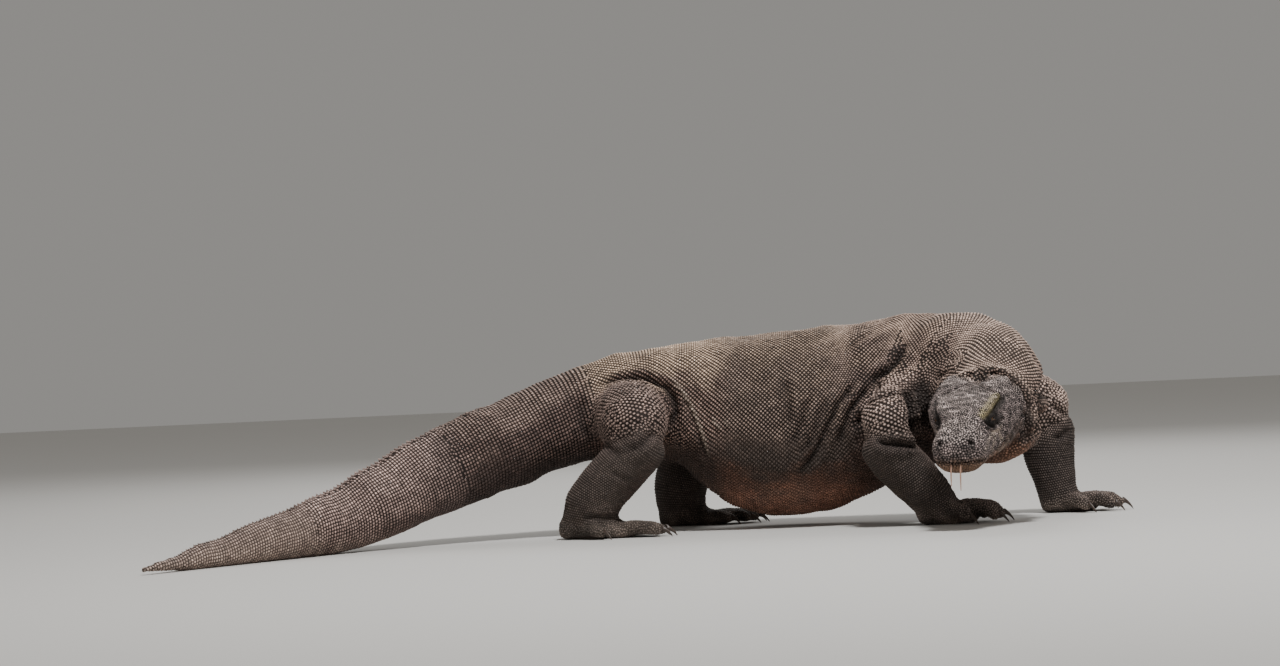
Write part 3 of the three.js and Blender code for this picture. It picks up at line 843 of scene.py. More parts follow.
@dataclass(frozen=True)
class HideColours:
    """Pigments of an old Komodo dragon's hide: dusty grey-brown, rusty below, with painted light and shade
    laid in: lighter tops, darker sides and undersides, shade round the eyes and in creases, highlights along
    ridges.
    """

    nodes: tuple[tuple[str, str, str, str], ...] = (
        # part of the body, on top, at the side, below; the lighter top is partly painted light, and the
        # darker side and below are partly painted shade besides the rusty belly's own colour
        ("tail_end", "#6b5c55", "#6f6058", "#5d4f48"),
        ("tail_middle", "#70605a", "#5c4d48", "#4c3e39"),
        ("tail_base", "#6e5d55", "#4a3b36", "#3d302b"),
        ("pelvis", "#a38d7a", "#6b5850", "#5a463c"),
        ("abdomen", "#766558", "#63544c", "#8b6351"),
        ("chest", "#7f6c60", "#5c4d47", "#5c463c"),
        ("neck", "#978377", "#6b5a52", "#755443"),
        ("head", "#6b615d", "#594f4d", "#463a35"),
        ("lower_jaw", "#65574f", "#634f45", "#5f4839"),
        ("thigh", "#7a6860", "#6d5c55", "#5d463c"),
        ("shin", "#5f524c", "#544943", "#4a3a33"),
        ("hind_foot", "#564c45", "#4c443e", "#3b342f"),
        ("upper_arm", "#948076", "#827169", "#54453e"),
        ("forearm", "#5c4f49", "#4d433e", "#43372f"),
        ("hand", "#6b5e57", "#4c433e", "#3d3531"),
    )
    brow_streak: str = "#b5a878"
    dark: str = "#1b1514"  # painted shade round the eyes, under the brows and in the nostrils
    lip: str = "#70543f"
    # painted shade in creases, hollows and the line of the mouth
    crease: str = "#261e1b"
    # painted highlight along ridges and the wrinkles of the head
    ridge_highlight: str = "#b3a293"
    dust: str = "#a8968a"


@dataclass
class Markings:
    """Works out the pigment at each place of the hide, which skin and scales share."""

    plan: BodyPlan
    features: HeadFeatures
    colours: HideColours = HideColours()
    # how strongly each part's scales are rubbed and given a painted highlight
    worn: ByEnding = (
        ("tail_end", 0.62), ("shin", 0.3), ("forearm", 0.38), ("hand", 0.6), ("foot", 0.34),
        ("lower_jaw", 0.5), ("head", 0.95), ("", 1.0),
    )
    worn_and_lit_above: Pair = (158, 212)  # heights on the trunk between which the rubbing and the painted highlight of the tops start
    band: tuple[float, float, float, float] = (66, 108, 160, 205)  # heights where the painted shade of the lower flanks comes in and fades
    flank_shade_depth: float = 0.4  # how much of the pigment's brightness the painted shade of the flanks takes
    faded: Pair = (-420, -540)  # places along the tail between which it turns paler
    fading: float = 0.75  # how much paler its end is
    dusted: Pair = (46, 8)  # heights between which dust gathers on the feet
    spreading: int = 34  # rounds by which the pigments of neighbouring parts run into each other

    def shades(self) -> Array:
        """The linear pigments of each node of flesh: on top, at the side and below."""
        rows = []
        for name in self.plan.flesh:
            found = next(row for row in self.colours.nodes if name.endswith(row[0]))
            rows.append([linear(colour)[:3] for colour in found[1:]])
        return np.array(rows)

    def paint(self, hide: "Hide") -> Array:
        """Mixes the pigment of every vertex of the hide, with painted light and shade in it.

        Args:
            hide: The shaped hide.

        Returns:
            Linear red, green and blue for each vertex.
        """
        places = hide.places
        shades = self.shades()[hide.owners]
        shades = hide.spread(shades.reshape(len(shades), -1), self.spreading)
        top, side, below = shades.reshape(-1, 3, 3).transpose(1, 0, 2)
        # painted light and shade: faces turned up take the lighter top pigment, faces turned sideways and
        # down the darker side and below ones
        up = hide.spread(hide.normals[:, 2:], 4)[:, 0]
        up = up + 0.16 * SoftNoise(110, 1)(places) + 0.1 * SoftNoise(34, 2)(places)
        pigment = side + smooth_share(up, 0.15, 0.85)[:, None] * (top - side)
        pigment += smooth_share(up, -0.2, -0.85)[:, None] * (below - side)
        # painted shade low on the flanks of the trunk, under the bulge of the body
        height = places[:, 2] / MM + 14 * SoftNoise(70, 12)(places)
        dark = smooth_share(height, *self.band[:2]) * smooth_share(height, *self.band[:1:-1])
        shade = 1 + 0.1 * SoftNoise(16, 3)(places) + 0.08 * SoftNoise(60, 4)(places)
        shade *= 1 - self.flank_shade_depth * dark * hide.share_of(TRUNK_NODES, 20)
        shade *= 1 + self.fading * smooth_share(places[:, 0] / MM, *self.faded)
        pigment *= shade[:, None]
        dusty = smooth_share(places[:, 2] / MM, *self.dusted) * (0.25 + 0.2 * SoftNoise(40, 5)(places))
        # painted shade in the creases, a painted highlight along the ridges, and real dust low on the feet
        for colour, share in (
            (self.colours.crease, 0.9 * hide.creased),
            (self.colours.ridge_highlight, 1.8 * hide.highlit_ridges),
            (self.colours.dust, dusty),
        ):
            pigment = self.mix(pigment, colour, share)
        return np.clip(self.paint_head(hide, pigment), 0, 1)

    def wear_and_light(self, hide: "Hide") -> Array:
        """Works out how far the scales at every vertex are rubbed pale and lit on top, partly real rubbing
        and partly a painted highlight on upward faces and high on the trunk.

        Args:
            hide: The shaped hide.

        Returns:
            A share from 0 to about 1 for each vertex.
        """
        of_part = hide.spread(hide.by_part(self.worn)[:, None], 24)[:, 0]
        height = hide.places[:, 2] / MM + 22 * SoftNoise(80, 9)(hide.places)
        rubbed = smooth_share(height, *self.worn_and_lit_above)
        over = smooth_share(hide.spread(hide.normals[:, 2:], 3)[:, 0], -0.75, -0.1)
        on_trunk = hide.share_of((*TRUNK_NODES, "tail_base"), 30)
        worn = of_part * (on_trunk * (0.1 + 0.9 * rubbed) + (1 - on_trunk) * (0.25 + 0.75 * over))
        snout = smooth_share(hide.head_rows[:, 0], 170, 215) * smooth_share(hide.head_rows[:, 2], 0, 18)
        plain = np.maximum.reduce([self.wrinkled(hide), 1.6 * hide.highlit_ridges, self.dark(hide)])
        for lost in (plain, 1.2 * hide.creased):
            worn = worn * (1 - 0.85 * np.clip(lost, 0, 1))
        return worn * (1 + 0.3 * snout * hide.head_share)

    def dark(self, hide: "Hide") -> Array:
        """Finds the painted shade round the eyes, under the brows and in the nostrils.

        Args:
            hide: The shaped hide.

        Returns:
            How much of it there is at every vertex.
        """
        half = on_left(hide.head_rows)
        around = norms((half - self.features.eye) * [0.8, 0.7, 1.0] + [0, 0, 2])
        under, _ = line_distance(half, self.features.brow_shadow_line)
        nostril = norms(half - self.features.nostril.place)
        marks = [smooth_share(around, 24, 12), 0.95 * smooth_share(under, 12, 5), 1.2 * bell(nostril, 6)]
        return np.clip(np.max(marks, axis=0), 0, 1) * hide.head_share

    def streak(self, hide: "Hide") -> Array:
        """How much of the pale streak over the left eye there is at every vertex."""
        brow, share = line_distance(hide.head_rows, self.features.brow)
        ends = smooth_share(share, 0.05, 0.2) * smooth_share(share, 1, 0.8)
        return bell(brow, 6.5) * ends * hide.head_share

    def wrinkled(self, hide: "Hide") -> Array:
        """How much painted highlight along a wrinkle of the lips and cheeks there is at every vertex."""
        half = on_left(hide.head_rows)
        marks = [bell(line_distance(half, line)[0], 3.0) for line in self.features.wrinkles]
        return np.max(marks, axis=0) * hide.head_share

    def mix(self, pigment: Array, colour: str, share: Array) -> Array:
        """Pigments mixed towards a colour by a share for each."""
        return pigment + np.clip(share, 0, 1)[:, None] * (np.array(linear(colour)[:3]) - pigment)

    def paint_head(self, hide: "Hide", pigment: Array) -> Array:
        """Adds the painted shade of the eye zones and creases, the streak over the left eye, the painted
        highlight on wrinkles, lips and marks of the head.

        Args:
            hide: The shaped hide.
            pigment: The pigments so far.

        Returns:
            The pigments with the head's marks.
        """
        colours, on_head = self.colours, hide.head_share
        blotches = SoftNoise(11, 10)(hide.places) + 0.6 * SoftNoise(5.5, 11)(hide.places)
        pigment = pigment * np.exp((0.6 * blotches - 0.06) * on_head)[:, None]
        over, lip = self.features.lips(hide.head_rows)
        front = smooth_share(hide.head_rows[:, 0], 190, 232)
        marks = [
            (colours.dark, 0.95 * self.dark(hide)),
            (colours.brow_streak, 0.9 * self.streak(hide)),
            (colours.ridge_highlight, 0.95 * self.wrinkled(hide)),
        ]
        # painted shade in the head's deeper creases and along the line of the mouth
        for crease in self.features.creases:
            if crease.depth > 3:
                gap, _ = line_distance(on_left(hide.head_rows), crease.points)
                marks.append((colours.crease, 0.75 * bell(gap, 0.8 * crease.width)))
        marks.append((colours.lip, 0.6 * front * on_head * bell(over + 12, 10)))
        marks.append((colours.crease, 0.8 * lip * on_head * bell(over, self.features.groove[1])))
        for colour, share in marks:
            pigment = self.mix(pigment, colour, share)
        return pigment


# --- the hide


@dataclass
class Hide:
    """One skin for the whole animal, shaped inside the solids of flesh."""

    plan: BodyPlan
    features: HeadFeatures
    voxel: float = 7.4  # size of the first mesh's faces
    overlap: float = 0.3  # how far the copies are grown to meet
    lowest: float = 0.4  # the least height of the skin over the floor
    tapering: float = 0.2  # the share of a fold's length over which each end fades away
    dark: float = 9.0  # the depth from which on a fold's painted shade is as dark as it gets
    hollow: float = 20.0  # the depth past which its painted shade is so all across
    pace: float = 0.5  # how far a vertex moves towards its neighbours in a round, at most
    # the unevenness under the hide: about how far apart its bumps are, a seed and about how high they are
    swells: tuple[Point, ...] = ((95, 7, 2.4), (30, 8, 0.6))
    depth: ByEnding = (  # how far the skin lies inside the solids, by part
        ("tail_end", 1.4), ("tail_middle", 1.9), ("head", 1.2), ("lower_jaw", 1.2), ("hand", 1.3),
        ("foot", 1.3), ("", 2.2),
    )
    softening: ByEnding = (  # how far facets are smoothed away, by part
        ("tail_end", 6), ("tail_middle", 10), ("tail_base", 14), ("pelvis", 22), ("abdomen", 24),
        ("chest", 24), ("neck", 19), ("head", 8), ("lower_jaw", 8), ("thigh", 17), ("upper_arm", 17),
        ("shin", 13), ("forearm", 13), ("", 5),
    )
    places: Array = field(init=False, repr=False)

    def build(self, nodes: dict[str, Object]) -> Mesh:
        """Makes the skin's mesh.

        Args:
            nodes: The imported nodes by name.

        Returns:
            The skin, with its folds and the head's features.
        """
        flesh, owners = flesh_copy(self.plan, nodes, self.overlap * MM)
        solids = Surface(flesh, owners)
        mesh = self.remeshed(flesh)
        self.read(mesh, solids)
        soft = self.by_part(self.softening)
        rate = self.pace * (self.spread(soft[:, None], 6)[:, 0] / soft.max()) ** 2
        rounds = int(soft.max() ** 2 / (self.pace * self.voxel**2 / 2))
        smoothed = self.relaxed(self.places, rate, rounds)
        smoothed += self.relaxed(self.places - smoothed, rate, rounds)
        mesh.vertices.foreach_set("co", smoothed.ravel())
        for wanted in (self.near_folds, self.near_features, self.near_eyes):
            self.refine(mesh, wanted)
        self.read(mesh, solids)
        depth = self.spread(self.by_part(self.depth)[:, None], 8)
        self.places = self.relaxed(self.places, np.full(len(self.places), 0.4), 3) - self.normals * depth * MM
        mesh.vertices.foreach_set("co", self.places.ravel())
        mesh.update()
        self.fold(Surface(mesh))
        self.places[:, 2] = np.maximum(self.places[:, 2], self.lowest * MM)
        mesh.vertices.foreach_set("co", self.places.ravel())
        mesh.update()
        self.normals = read_all(mesh.vertices, "normal", 3)
        return mesh

    def remeshed(self, flesh: Mesh) -> Mesh:
        """Wraps the joined solids in one closed mesh of even faces.

        Args:
            flesh: The joined solids.

        Returns:
            The largest of the mesh's shells.
        """
        lump = bpy.data.objects.new("lump", flesh)
        bpy.context.scene.collection.objects.link(lump)
        remesh = lump.modifiers.new("remesh", "REMESH")
        remesh.mode = "VOXEL"
        remesh.voxel_size = self.voxel * MM
        evaluated = lump.evaluated_get(bpy.context.evaluated_depsgraph_get())
        mesh = bpy.data.meshes.new_from_object(evaluated)
        bpy.data.objects.remove(lump)
        shell = bmesh.new()
        shell.from_mesh(mesh)
        left = set(shell.verts)
        largest: set[bmesh.types.BMVert] = set()
        while left:
            group: set[bmesh.types.BMVert] = set()
            queue = [left.pop()]
            while queue:
                vertex = queue.pop()
                group.add(vertex)
                fresh = {edge.other_vert(vertex) for edge in vertex.link_edges} & left
                left -= fresh
                queue.extend(fresh)
            largest = max(largest, group, key=len)
        bmesh.ops.delete(shell, geom=[v for v in shell.verts if v not in largest], context="VERTS")
        shell.to_mesh(mesh)
        shell.free()
        return mesh

    def read(self, mesh: Mesh, solids: Surface) -> None:
        """Reads the mesh, and finds which solid each vertex belongs to.

        Args:
            mesh: The skin's mesh.
            solids: The solids of flesh with the numbers of their nodes.
        """
        mesh.update()
        self.places = read_all(mesh.vertices, "co", 3)
        self.normals = read_all(mesh.vertices, "normal", 3)
        self.edges = read_all(mesh.edges, "vertices", 2, np.int64)
        self.valence = np.maximum(np.bincount(self.edges.ravel(), minlength=len(self.places)), 1)
        _, faces = solids.nearest(self.places)
        self.owners = solids.numbers[faces]
        self.head_rows = self.plan.in_head(self.places)

    def averaged(self, values: Array) -> Array:
        """The mean of each vertex's neighbours."""
        (starts, ends), count = self.edges.T, len(self.places)
        pairs = ((starts, ends), (ends, starts))
        sums = [sum(np.bincount(a, column[b], count) for a, b in pairs) for column in values.T]
        return np.stack(sums, axis=-1) / self.valence[:, None]

    def relaxed(self, values: Array, rate: Array, rounds: int) -> Array:
        """Smooths values over the mesh.

        Args:
            values: Rows of numbers, one for each vertex.
            rate: How far each vertex moves towards its neighbours in a round.
            rounds: How many rounds.

        Returns:
            The smoothed rows.
        """
        values = values.copy()
        for _ in range(rounds):
            values += rate[:, None] * (self.averaged(values) - values)
        return values

    def spread(self, values: Array, rounds: int) -> Array:
        """Values smoothed all over by the same rate."""
        return self.relaxed(np.asarray(values, float), np.full(len(values), 0.6), rounds)

    def share_of(self, names: tuple[str, ...], rounds: int) -> Array:
        """How far each vertex belongs to some of the nodes, spread over their edges."""
        return self.spread(np.isin(self.owners, self.plan.node_numbers(*names))[:, None], rounds)[:, 0]

    def by_part(self, table: ByEnding) -> Array:
        """The value of each vertex from a table of name endings."""
        return np.array([value_for(name, table) for name in self.plan.flesh], float)[self.owners]

    def refine(self, mesh: Mesh, wanted: Callable[[Array], Array]) -> None:
        """Halves the edges of the faces of a zone.

        Args:
            mesh: The mesh to change.
            wanted: A function from places in metres to which of them lie in the zone.
        """
        inside = wanted(read_all(mesh.vertices, "co", 3)).tolist()
        finer = bmesh.new()
        finer.from_mesh(mesh)
        edges = [e for e in finer.edges if inside[e.verts[0].index] and inside[e.verts[1].index]]
        bmesh.ops.subdivide_edges(finer, edges=edges, cuts=1, use_grid_fill=True)
        finer.to_mesh(mesh)
        finer.free()

    def near_folds(self, places: Array) -> Array:
        """Picks the places of feet, head and sharp folds, where the faces are cut once.

        Args:
            places: Places in metres.

        Returns:
            True for each that is picked.
        """
        rows = self.plan.in_head(places)
        zone = (rows[:, 0] > -10) & (np.abs(rows[:, 1]) < 105) & (np.abs(rows[:, 2]) < 90)
        zone |= (places[:, 2] < 0.052) & (places[:, 0] > -0.25)
        for fold in FOLDS:
            if not 0 <= fold.depth <= 6:
                gap, _ = line_distance(places, np.array(fold.points) * MM)
                zone |= gap < 0.013
        return zone

    def near_features(self, places: Array) -> Array:
        """Picks the places of lips, nostrils, ears, creases and eyes, where they are cut again.

        Args:
            places: Places in metres.

        Returns:
            True for each that is picked.
        """
        rows = self.plan.in_head(places)
        over, _ = self.features.lips(rows)
        half = on_left(rows)
        zone = (np.abs(over) < 5) & (rows[:, 0] > 108) & (rows[:, 0] < 262) & (half[:, 1] < 90)
        features = self.features
        for place, reach in ((features.nostril.place, 13), (features.ear.place, 14), (features.eye, 28)):
            zone |= norms(half - place) < reach
        for line in (*(crease.points for crease in features.creases[:-2]), *features.wrinkles):
            zone |= line_distance(half, np.array(line, float))[0] < 5.5
        return zone & (rows[:, 0] > -10)

    def near_eyes(self, places: Array) -> Array:
        """Where they are cut a third time: the lids."""
        return norms(on_left(self.plan.in_head(places)) - self.features.eye) < 17

    def fold(self, surface: Surface) -> None:
        """Presses folds, wrinkles and the head's features into the skin, and marks where folds get painted
        shade and painted highlights.

        Args:
            surface: The skin before.
        """
        count = len(self.places)
        rise, self.creased, self.highlit_ridges = np.zeros(count), np.zeros(count), np.zeros(count)
        for fold in FOLDS:
            line = np.array(fold.points, float) * MM
            for points in (line, self.plan.spine.mirrored(line)) if fold.mirrored else (line,):
                gap, share = line_distance(self.places, seated(points / MM, surface))
                fade = faded_ends(share, self.tapering)
                rise -= fold.depth * fade * bell(gap, fold.width * MM)
                rise += fold.lip * fade * bell(gap - 2 * fold.width * MM, 1.2 * fold.width * MM)
                # the crease of a fold gets painted shade and a ridge a painted highlight; the deepest hollows
                # are painted dark all across
                marked = min(abs(fold.depth) / self.dark, 1) * fade * bell(gap, 0.85 * fold.width * MM)
                if fold.depth > self.hollow:
                    marked = fade * smooth_share(gap / MM, 1.5 * fold.width, 0.7 * fold.width)
                mark = self.creased if fold.depth > 0 else self.highlit_ridges
                np.maximum(mark, marked, out=mark)
        wander = SoftNoise(70, 6)(self.places)
        for row in WRINKLES:
            near = bell(norms(self.places - np.array(row.centre) * MM), row.reach * MM)
            steps = self.places @ unit(np.array(row.across, float)) / (row.spacing * MM)
            rise += row.height * near * np.sin(2 * math.pi * steps + 1.6 * wander)
        on_legs = self.share_of(self.plan.leg_nodes, 12)
        swell = sum(SoftNoise(size, seed)(self.places) * height for size, seed, height in self.swells)
        self.head_share = self.share_of(HEAD_NODES, 8)
        swell = swell * smooth_share(self.places[:, 2] / MM, 6, 40) * self.by_part(self.depth) / 2.2
        rise += swell * (1 - 0.4 * on_legs) * (1 - self.head_share)
        self.places = self.places + self.normals * rise[:, None] * MM
        self.features.seat(self.plan, surface)
        near = (self.head_rows[:, 0] > -45) & (np.abs(self.head_rows[:, 1]) < 115)
        near &= np.isin(self.owners, self.plan.node_numbers("neck", *HEAD_NODES))
        rotation = np.array(self.plan.head.to_3x3())
        rows = self.plan.in_head(self.places[near])
        shaped = self.features.shape(rows, self.normals[near] @ rotation)
        weight = smooth_share(rows[:, 0], -45, -15)[:, None]
        self.places[near] = self.plan.from_head(rows + weight * (shaped - rows))
        self.head_rows = self.plan.in_head(self.places)


# --- scales


class ScaleShape(Enum):
    """How a single scale is shaped."""

    BEAD = "bead"
    PEBBLE = "pebble"
    PLATE = "plate"
    CREST = "crest"


@dataclass(frozen=True)
class ScaleRows:
    """Scales set in rows across a part of the body."""

    nodes: tuple[str, ...]  # the parts that they cover
    shape: ScaleShape  # how each is shaped
    pitch: float  # from one row to the next
    spacing: float  # from one scale to the next in a row
    staggered: bool  # true where each row is moved on by half a scale
    size: Point  # half length, half width and height of a scale


BODY_ROWS = (
    ScaleRows(("tail_end",), ScaleShape.PLATE, 6.8, 6.4, False, (3.3, 3.2, 1.2)),
    ScaleRows(("tail_middle",), ScaleShape.PLATE, 7.2, 6.9, False, (3.5, 3.5, 1.9)),
    ScaleRows(("tail_base",), ScaleShape.PLATE, 7.6, 7.4, False, (3.7, 3.8, 2.2)),
    ScaleRows(TRUNK_NODES, ScaleShape.BEAD, 4.6, 9.2, True, (3.5, 3.4, 2.1)),
    ScaleRows(("neck",), ScaleShape.BEAD, 4.4, 8.8, True, (3.4, 3.3, 2.0)),
)
LEG_ROWS = (
    ScaleRows(("thigh", "upper_arm"), ScaleShape.BEAD, 9.6, 8.2, True, (3.7, 4.5, 2.9)),
    ScaleRows(("shin", "forearm"), ScaleShape.BEAD, 5.0, 5.2, True, (2.4, 2.7, 1.3)),
)
LOOSE_SPACING = (  # scales that fill in between the rows, and all those of the head and feet
    ("tail_end", 5.8), ("tail_middle", 6.8), ("tail_base", 7.0), ("neck", 6.0), ("head", 5.4),
    ("lower_jaw", 4.6), ("hand", 4.6), ("foot", 4.6), ("shin", 5.0), ("forearm", 5.0), ("", 6.4),
)


@dataclass
class Scales:
    """Scales that are still to be made: one row of each array for each scale."""

    roots: Array
    faces: Array
    sizes: Array
    shapes: Array

    @staticmethod
    def joined(parts: list["Scales"]) -> "Scales":
        """All scales of several lots."""
        lots = zip(*((part.roots, part.faces, part.sizes, part.shapes) for part in parts))
        return Scales(*(np.concatenate(lot) for lot in lots))

    @staticmethod
    def lot(roots: Array, faces: Array, sizes: Array, shape: ScaleShape) -> "Scales":
        """Scales of one shape at the given roots."""
        sizes = np.broadcast_to(np.asarray(sizes, float), (len(roots), 3))
        return Scales(roots, faces, sizes, np.full(len(roots), list(ScaleShape).index(shape)))

    def chosen(self, which: Array) -> "Scales":
        """Some of these scales."""
        return Scales(self.roots[which], self.faces[which], self.sizes[which], self.shapes[which])


class ScaleTemplate:
    """One small closed scale, which is repeated over the skin."""

    SIDES = {ScaleShape.BEAD: 6, ScaleShape.PEBBLE: 7, ScaleShape.PLATE: 8, ScaleShape.CREST: 6}
    RINGS = {  # radius, level and how worn and lit each ring above the rim is, which puts painted shade at the rim and the painted highlight on top; the tip has 0, 1 and 1
        ScaleShape.BEAD: ((0.64, 0.72, 0.26),),
        ScaleShape.PEBBLE: ((0.84, 0.5, 0.1), (0.46, 0.88, 0.42)),
        ScaleShape.PLATE: ((0.68, 0.66, 0.28),),
        ScaleShape.CREST: ((0.62, 0.5, 0.4),),
    }
    SWEEP = {ScaleShape.BEAD: 0.06, ScaleShape.PEBBLE: 0.05, ScaleShape.PLATE: 0.25, ScaleShape.CREST: 0.45}

    SQUARENESS = 0.6  # the power that draws the outline of a plate out to a square

    def __init__(self, shape: ScaleShape) -> None:
        """Makes the scale one unit in radius and height, with its free end towards +X.

        Args:
            shape: The scale's shape.
        """
        rings = self.RINGS[shape]
        made = bmesh.new()
        sides = self.SIDES[shape]
        bmesh.ops.create_circle(made, cap_ends=True, segments=sides, radius=1)
        if shape is ScaleShape.PLATE:
            bmesh.ops.rotate(made, verts=made.verts, matrix=Matrix.Rotation(math.pi / sides, 3, "Z"))
            for vertex in made.verts:
                for axis in (0, 1):
                    vertex.co[axis] = math.copysign(abs(vertex.co[axis]) ** self.SQUARENESS, vertex.co[axis])
        outline = {vertex: vertex.co.copy() for vertex in made.verts}
        edges = list(made.edges)
        for radius, level, _ in rings:
            grown = bmesh.ops.extrude_edge_only(made, edges=edges)["geom"]
            edges = [part for part in grown if isinstance(part, bmesh.types.BMEdge)]
            fresh = [part for part in grown if isinstance(part, bmesh.types.BMVert)]
            for vertex in fresh:
                way = vertex.co.xy.normalized()
                source = min(outline, key=lambda old: (old.co.xy.normalized() - way).length)
                vertex.co = (*(outline[source].xy * radius), level)
        roof = bmesh.ops.contextual_create(made, geom=edges)["faces"][0]
        peak = bmesh.ops.poke(made, faces=[roof])["verts"][0]
        peak.co = (self.SWEEP[shape], 0, 1)
        bmesh.ops.recalc_face_normals(made, faces=made.faces)
        levels = (0, *(level for _, level, _ in rings), 1)
        self.places = np.array([vertex.co[:] for vertex in made.verts])
        self.relief = np.interp(self.places[:, 2], levels, (0, *(worn for *_, worn in rings), 1))
        self.faces = [[vertex.index for vertex in face.verts] for face in made.faces]
        made.free()
        self.corners = np.concatenate([np.array(face) for face in self.faces])
        self.totals = np.array([len(face) for face in self.faces])
        self.starts = np.concatenate([[0], np.cumsum(self.totals)[:-1]])
        self.triangles = int((self.totals - 2).sum())


@dataclass
class Coat:
    """All scales of the hide."""

    plan: BodyPlan
    hide: Hide  # the shaped skin
    features: HeadFeatures
    surface: Surface  # the skin again, to be searched
    sunk: float = 0.45  # how deep a scale's rim is set into the skin
    patch: float = 0.003  # how wide each scale's patch is on the unwrap
    most: int = 190_000  # the most triangles in one piece
    rays: int = 240  # how many ways each ring of scales is measured in
    rounds: int = 5  # how often loose scales are moved apart
    neighbours: int = 7  # how many places round a loose scale, with its own, push it
    roomy: float = 1.06  # the distance they push it to, as a share of its spacing
    push: float = 0.35  # how far of that way it moves in a round
    throws: int = 8  # how many loose scales are thrown for each that would fit
    tight: float = 0.8  # how close two loose scales may be thrown, as a share of the spacing they get
    reach: float = 0.4  # how far it is from the middle of a part to its skin at most, in metres
    # how far apart two neighbouring hits of a ring on one surface are at most, in metres
    leap: float = 0.02
    step: float = 0.004  # how far the count of a ring goes on over such a leap, in metres
    cell: float = 0.0032  # the size of the grid that loose scales are sorted into, in metres
    # half length, half width and height of loose scales on the head and elsewhere, as shares of their spacing
    loose_sizes: tuple[Point, Point] = ((0.6, 0.59, 0.27), (0.55, 0.54, 0.33))
    thinning: float = 0.74  # how close two scales in rows may stand, as a share of their width
    # spacing of the finest scales of the head, how much it widens away from the eye and on the snout
    fine: Point = (2.3, 1.5, 1.2)
    round_eye: Pair = (13, 30)  # how far from the eye it widens
    snout: Pair = (150, 200)  # how far forward on the head it widens
    slit: float = 1.5  # half the height of the bare lips
    hole: float = 6.0  # how wide a nostril and an ear are left bare
    # where the crest starts and ends and its teeth's distance, in metres along the spine
    crest_rows: Point = (0.1, 1.02, 0.0118)
    crest_size: Point = (5.8, 2.8, 5.6)  # half length, half width and height of a tooth of the crest
    # half the gap between its two rows where it starts, in metres, and how much that grows in a metre
    crest_gap: Pair = (0.0016, 0.0038)
    crest_growth: Pair = (0.38, 0.86)  # a tooth's share of its size, in the same way
    crest_end: Pair = (1.0, 0.75)  # where its height has faded away, and from where on
    crest_shade: float = 0.5  # its brightness beside the hide's
    unevenness: Point = (0.05, 0.05, 0.12)  # how much length, width and height of the scales vary
    wander: Point = (0.07, 0.22, 0.16)  # how much their turn (in radians), wear and pigment vary
    lift: float = 0.1  # how steeply a scale rises to its free end
    margin: float = 0.01  # the empty border of the unwrap

    def __post_init__(self) -> None:
        """Works out what every face of the skin needs to know."""
        owners = self.hide.owners[self.surface.loop_vertices]
        first = np.concatenate([[0], np.cumsum(self.surface.sides)[:-1]])
        self.face_owner = owners[first]
        self.face_pigment = self.surface.over_faces(self.hide.pigment)
        self.face_wear_and_light = self.surface.over_faces(self.hide.wear_and_light)
        self.face_head = self.surface.over_faces(self.hide.head_rows)
        self.face_centre = self.surface.over_faces(self.hide.places)
        self.templates = {shape: ScaleTemplate(shape) for shape in ScaleShape}
        self.random = np.random.default_rng(SEED)
        spacing = np.array([value_for(name, LOOSE_SPACING) for name in self.plan.flesh])[self.face_owner]
        on_head = self.face_on_head = np.isin(self.face_owner, self.plan.node_numbers(*HEAD_NODES))
        half, features = on_left(self.face_head), self.features
        near_eye = norms(half - features.eye)
        finest, by_eye, by_snout = self.fine
        near = finest + by_eye * smooth_share(near_eye, *self.round_eye)
        near += by_snout * smooth_share(self.face_head[:, 0], *self.snout)
        self.spacing = np.where(on_head, np.minimum(spacing, near), spacing)
        over, lip = features.lips(self.face_head)
        self.bare = (lip > 0.3) & (np.abs(over) < self.slit) | (near_eye < features.ball + 1)
        self.bare |= norms(half - features.nostril.place) < self.hole
        self.bare = on_head & (self.bare | (features.ear.gap(half) < self.hole))

    def ring(self, distance: float, route: Route, face: Route | None) -> tuple[Array, ...]:
        """Finds where one ring of scales lies.

        Args:
            distance: How far along the counted line it is, in metres.
            route: The line through the middle of the part.
            face: The line down its face that the rings are counted along, where they are not counted
                along the middle.

        Returns:
            The ring's middle, the way to its first scale and the way across that.
        """
        counted = face or route
        at = np.array([distance])
        place = counted.read(counted.places, at)[0]
        tangent = unit(counted.read(counted.tangents, at))[0]
        place = place + (distance - np.clip(distance, 0, counted.length)) * tangent
        up = unit(counted.read(counted.ups, at))[0]
        if face:
            offsets = route.places - place
            gaps = offsets @ tangent
            best = np.argmin(4 * np.abs(gaps) + norms(offsets))
            middle = route.places[best] - gaps[best] * tangent
            place, up = middle, unit(place - middle)
        return place, up, np.cross(up, tangent)

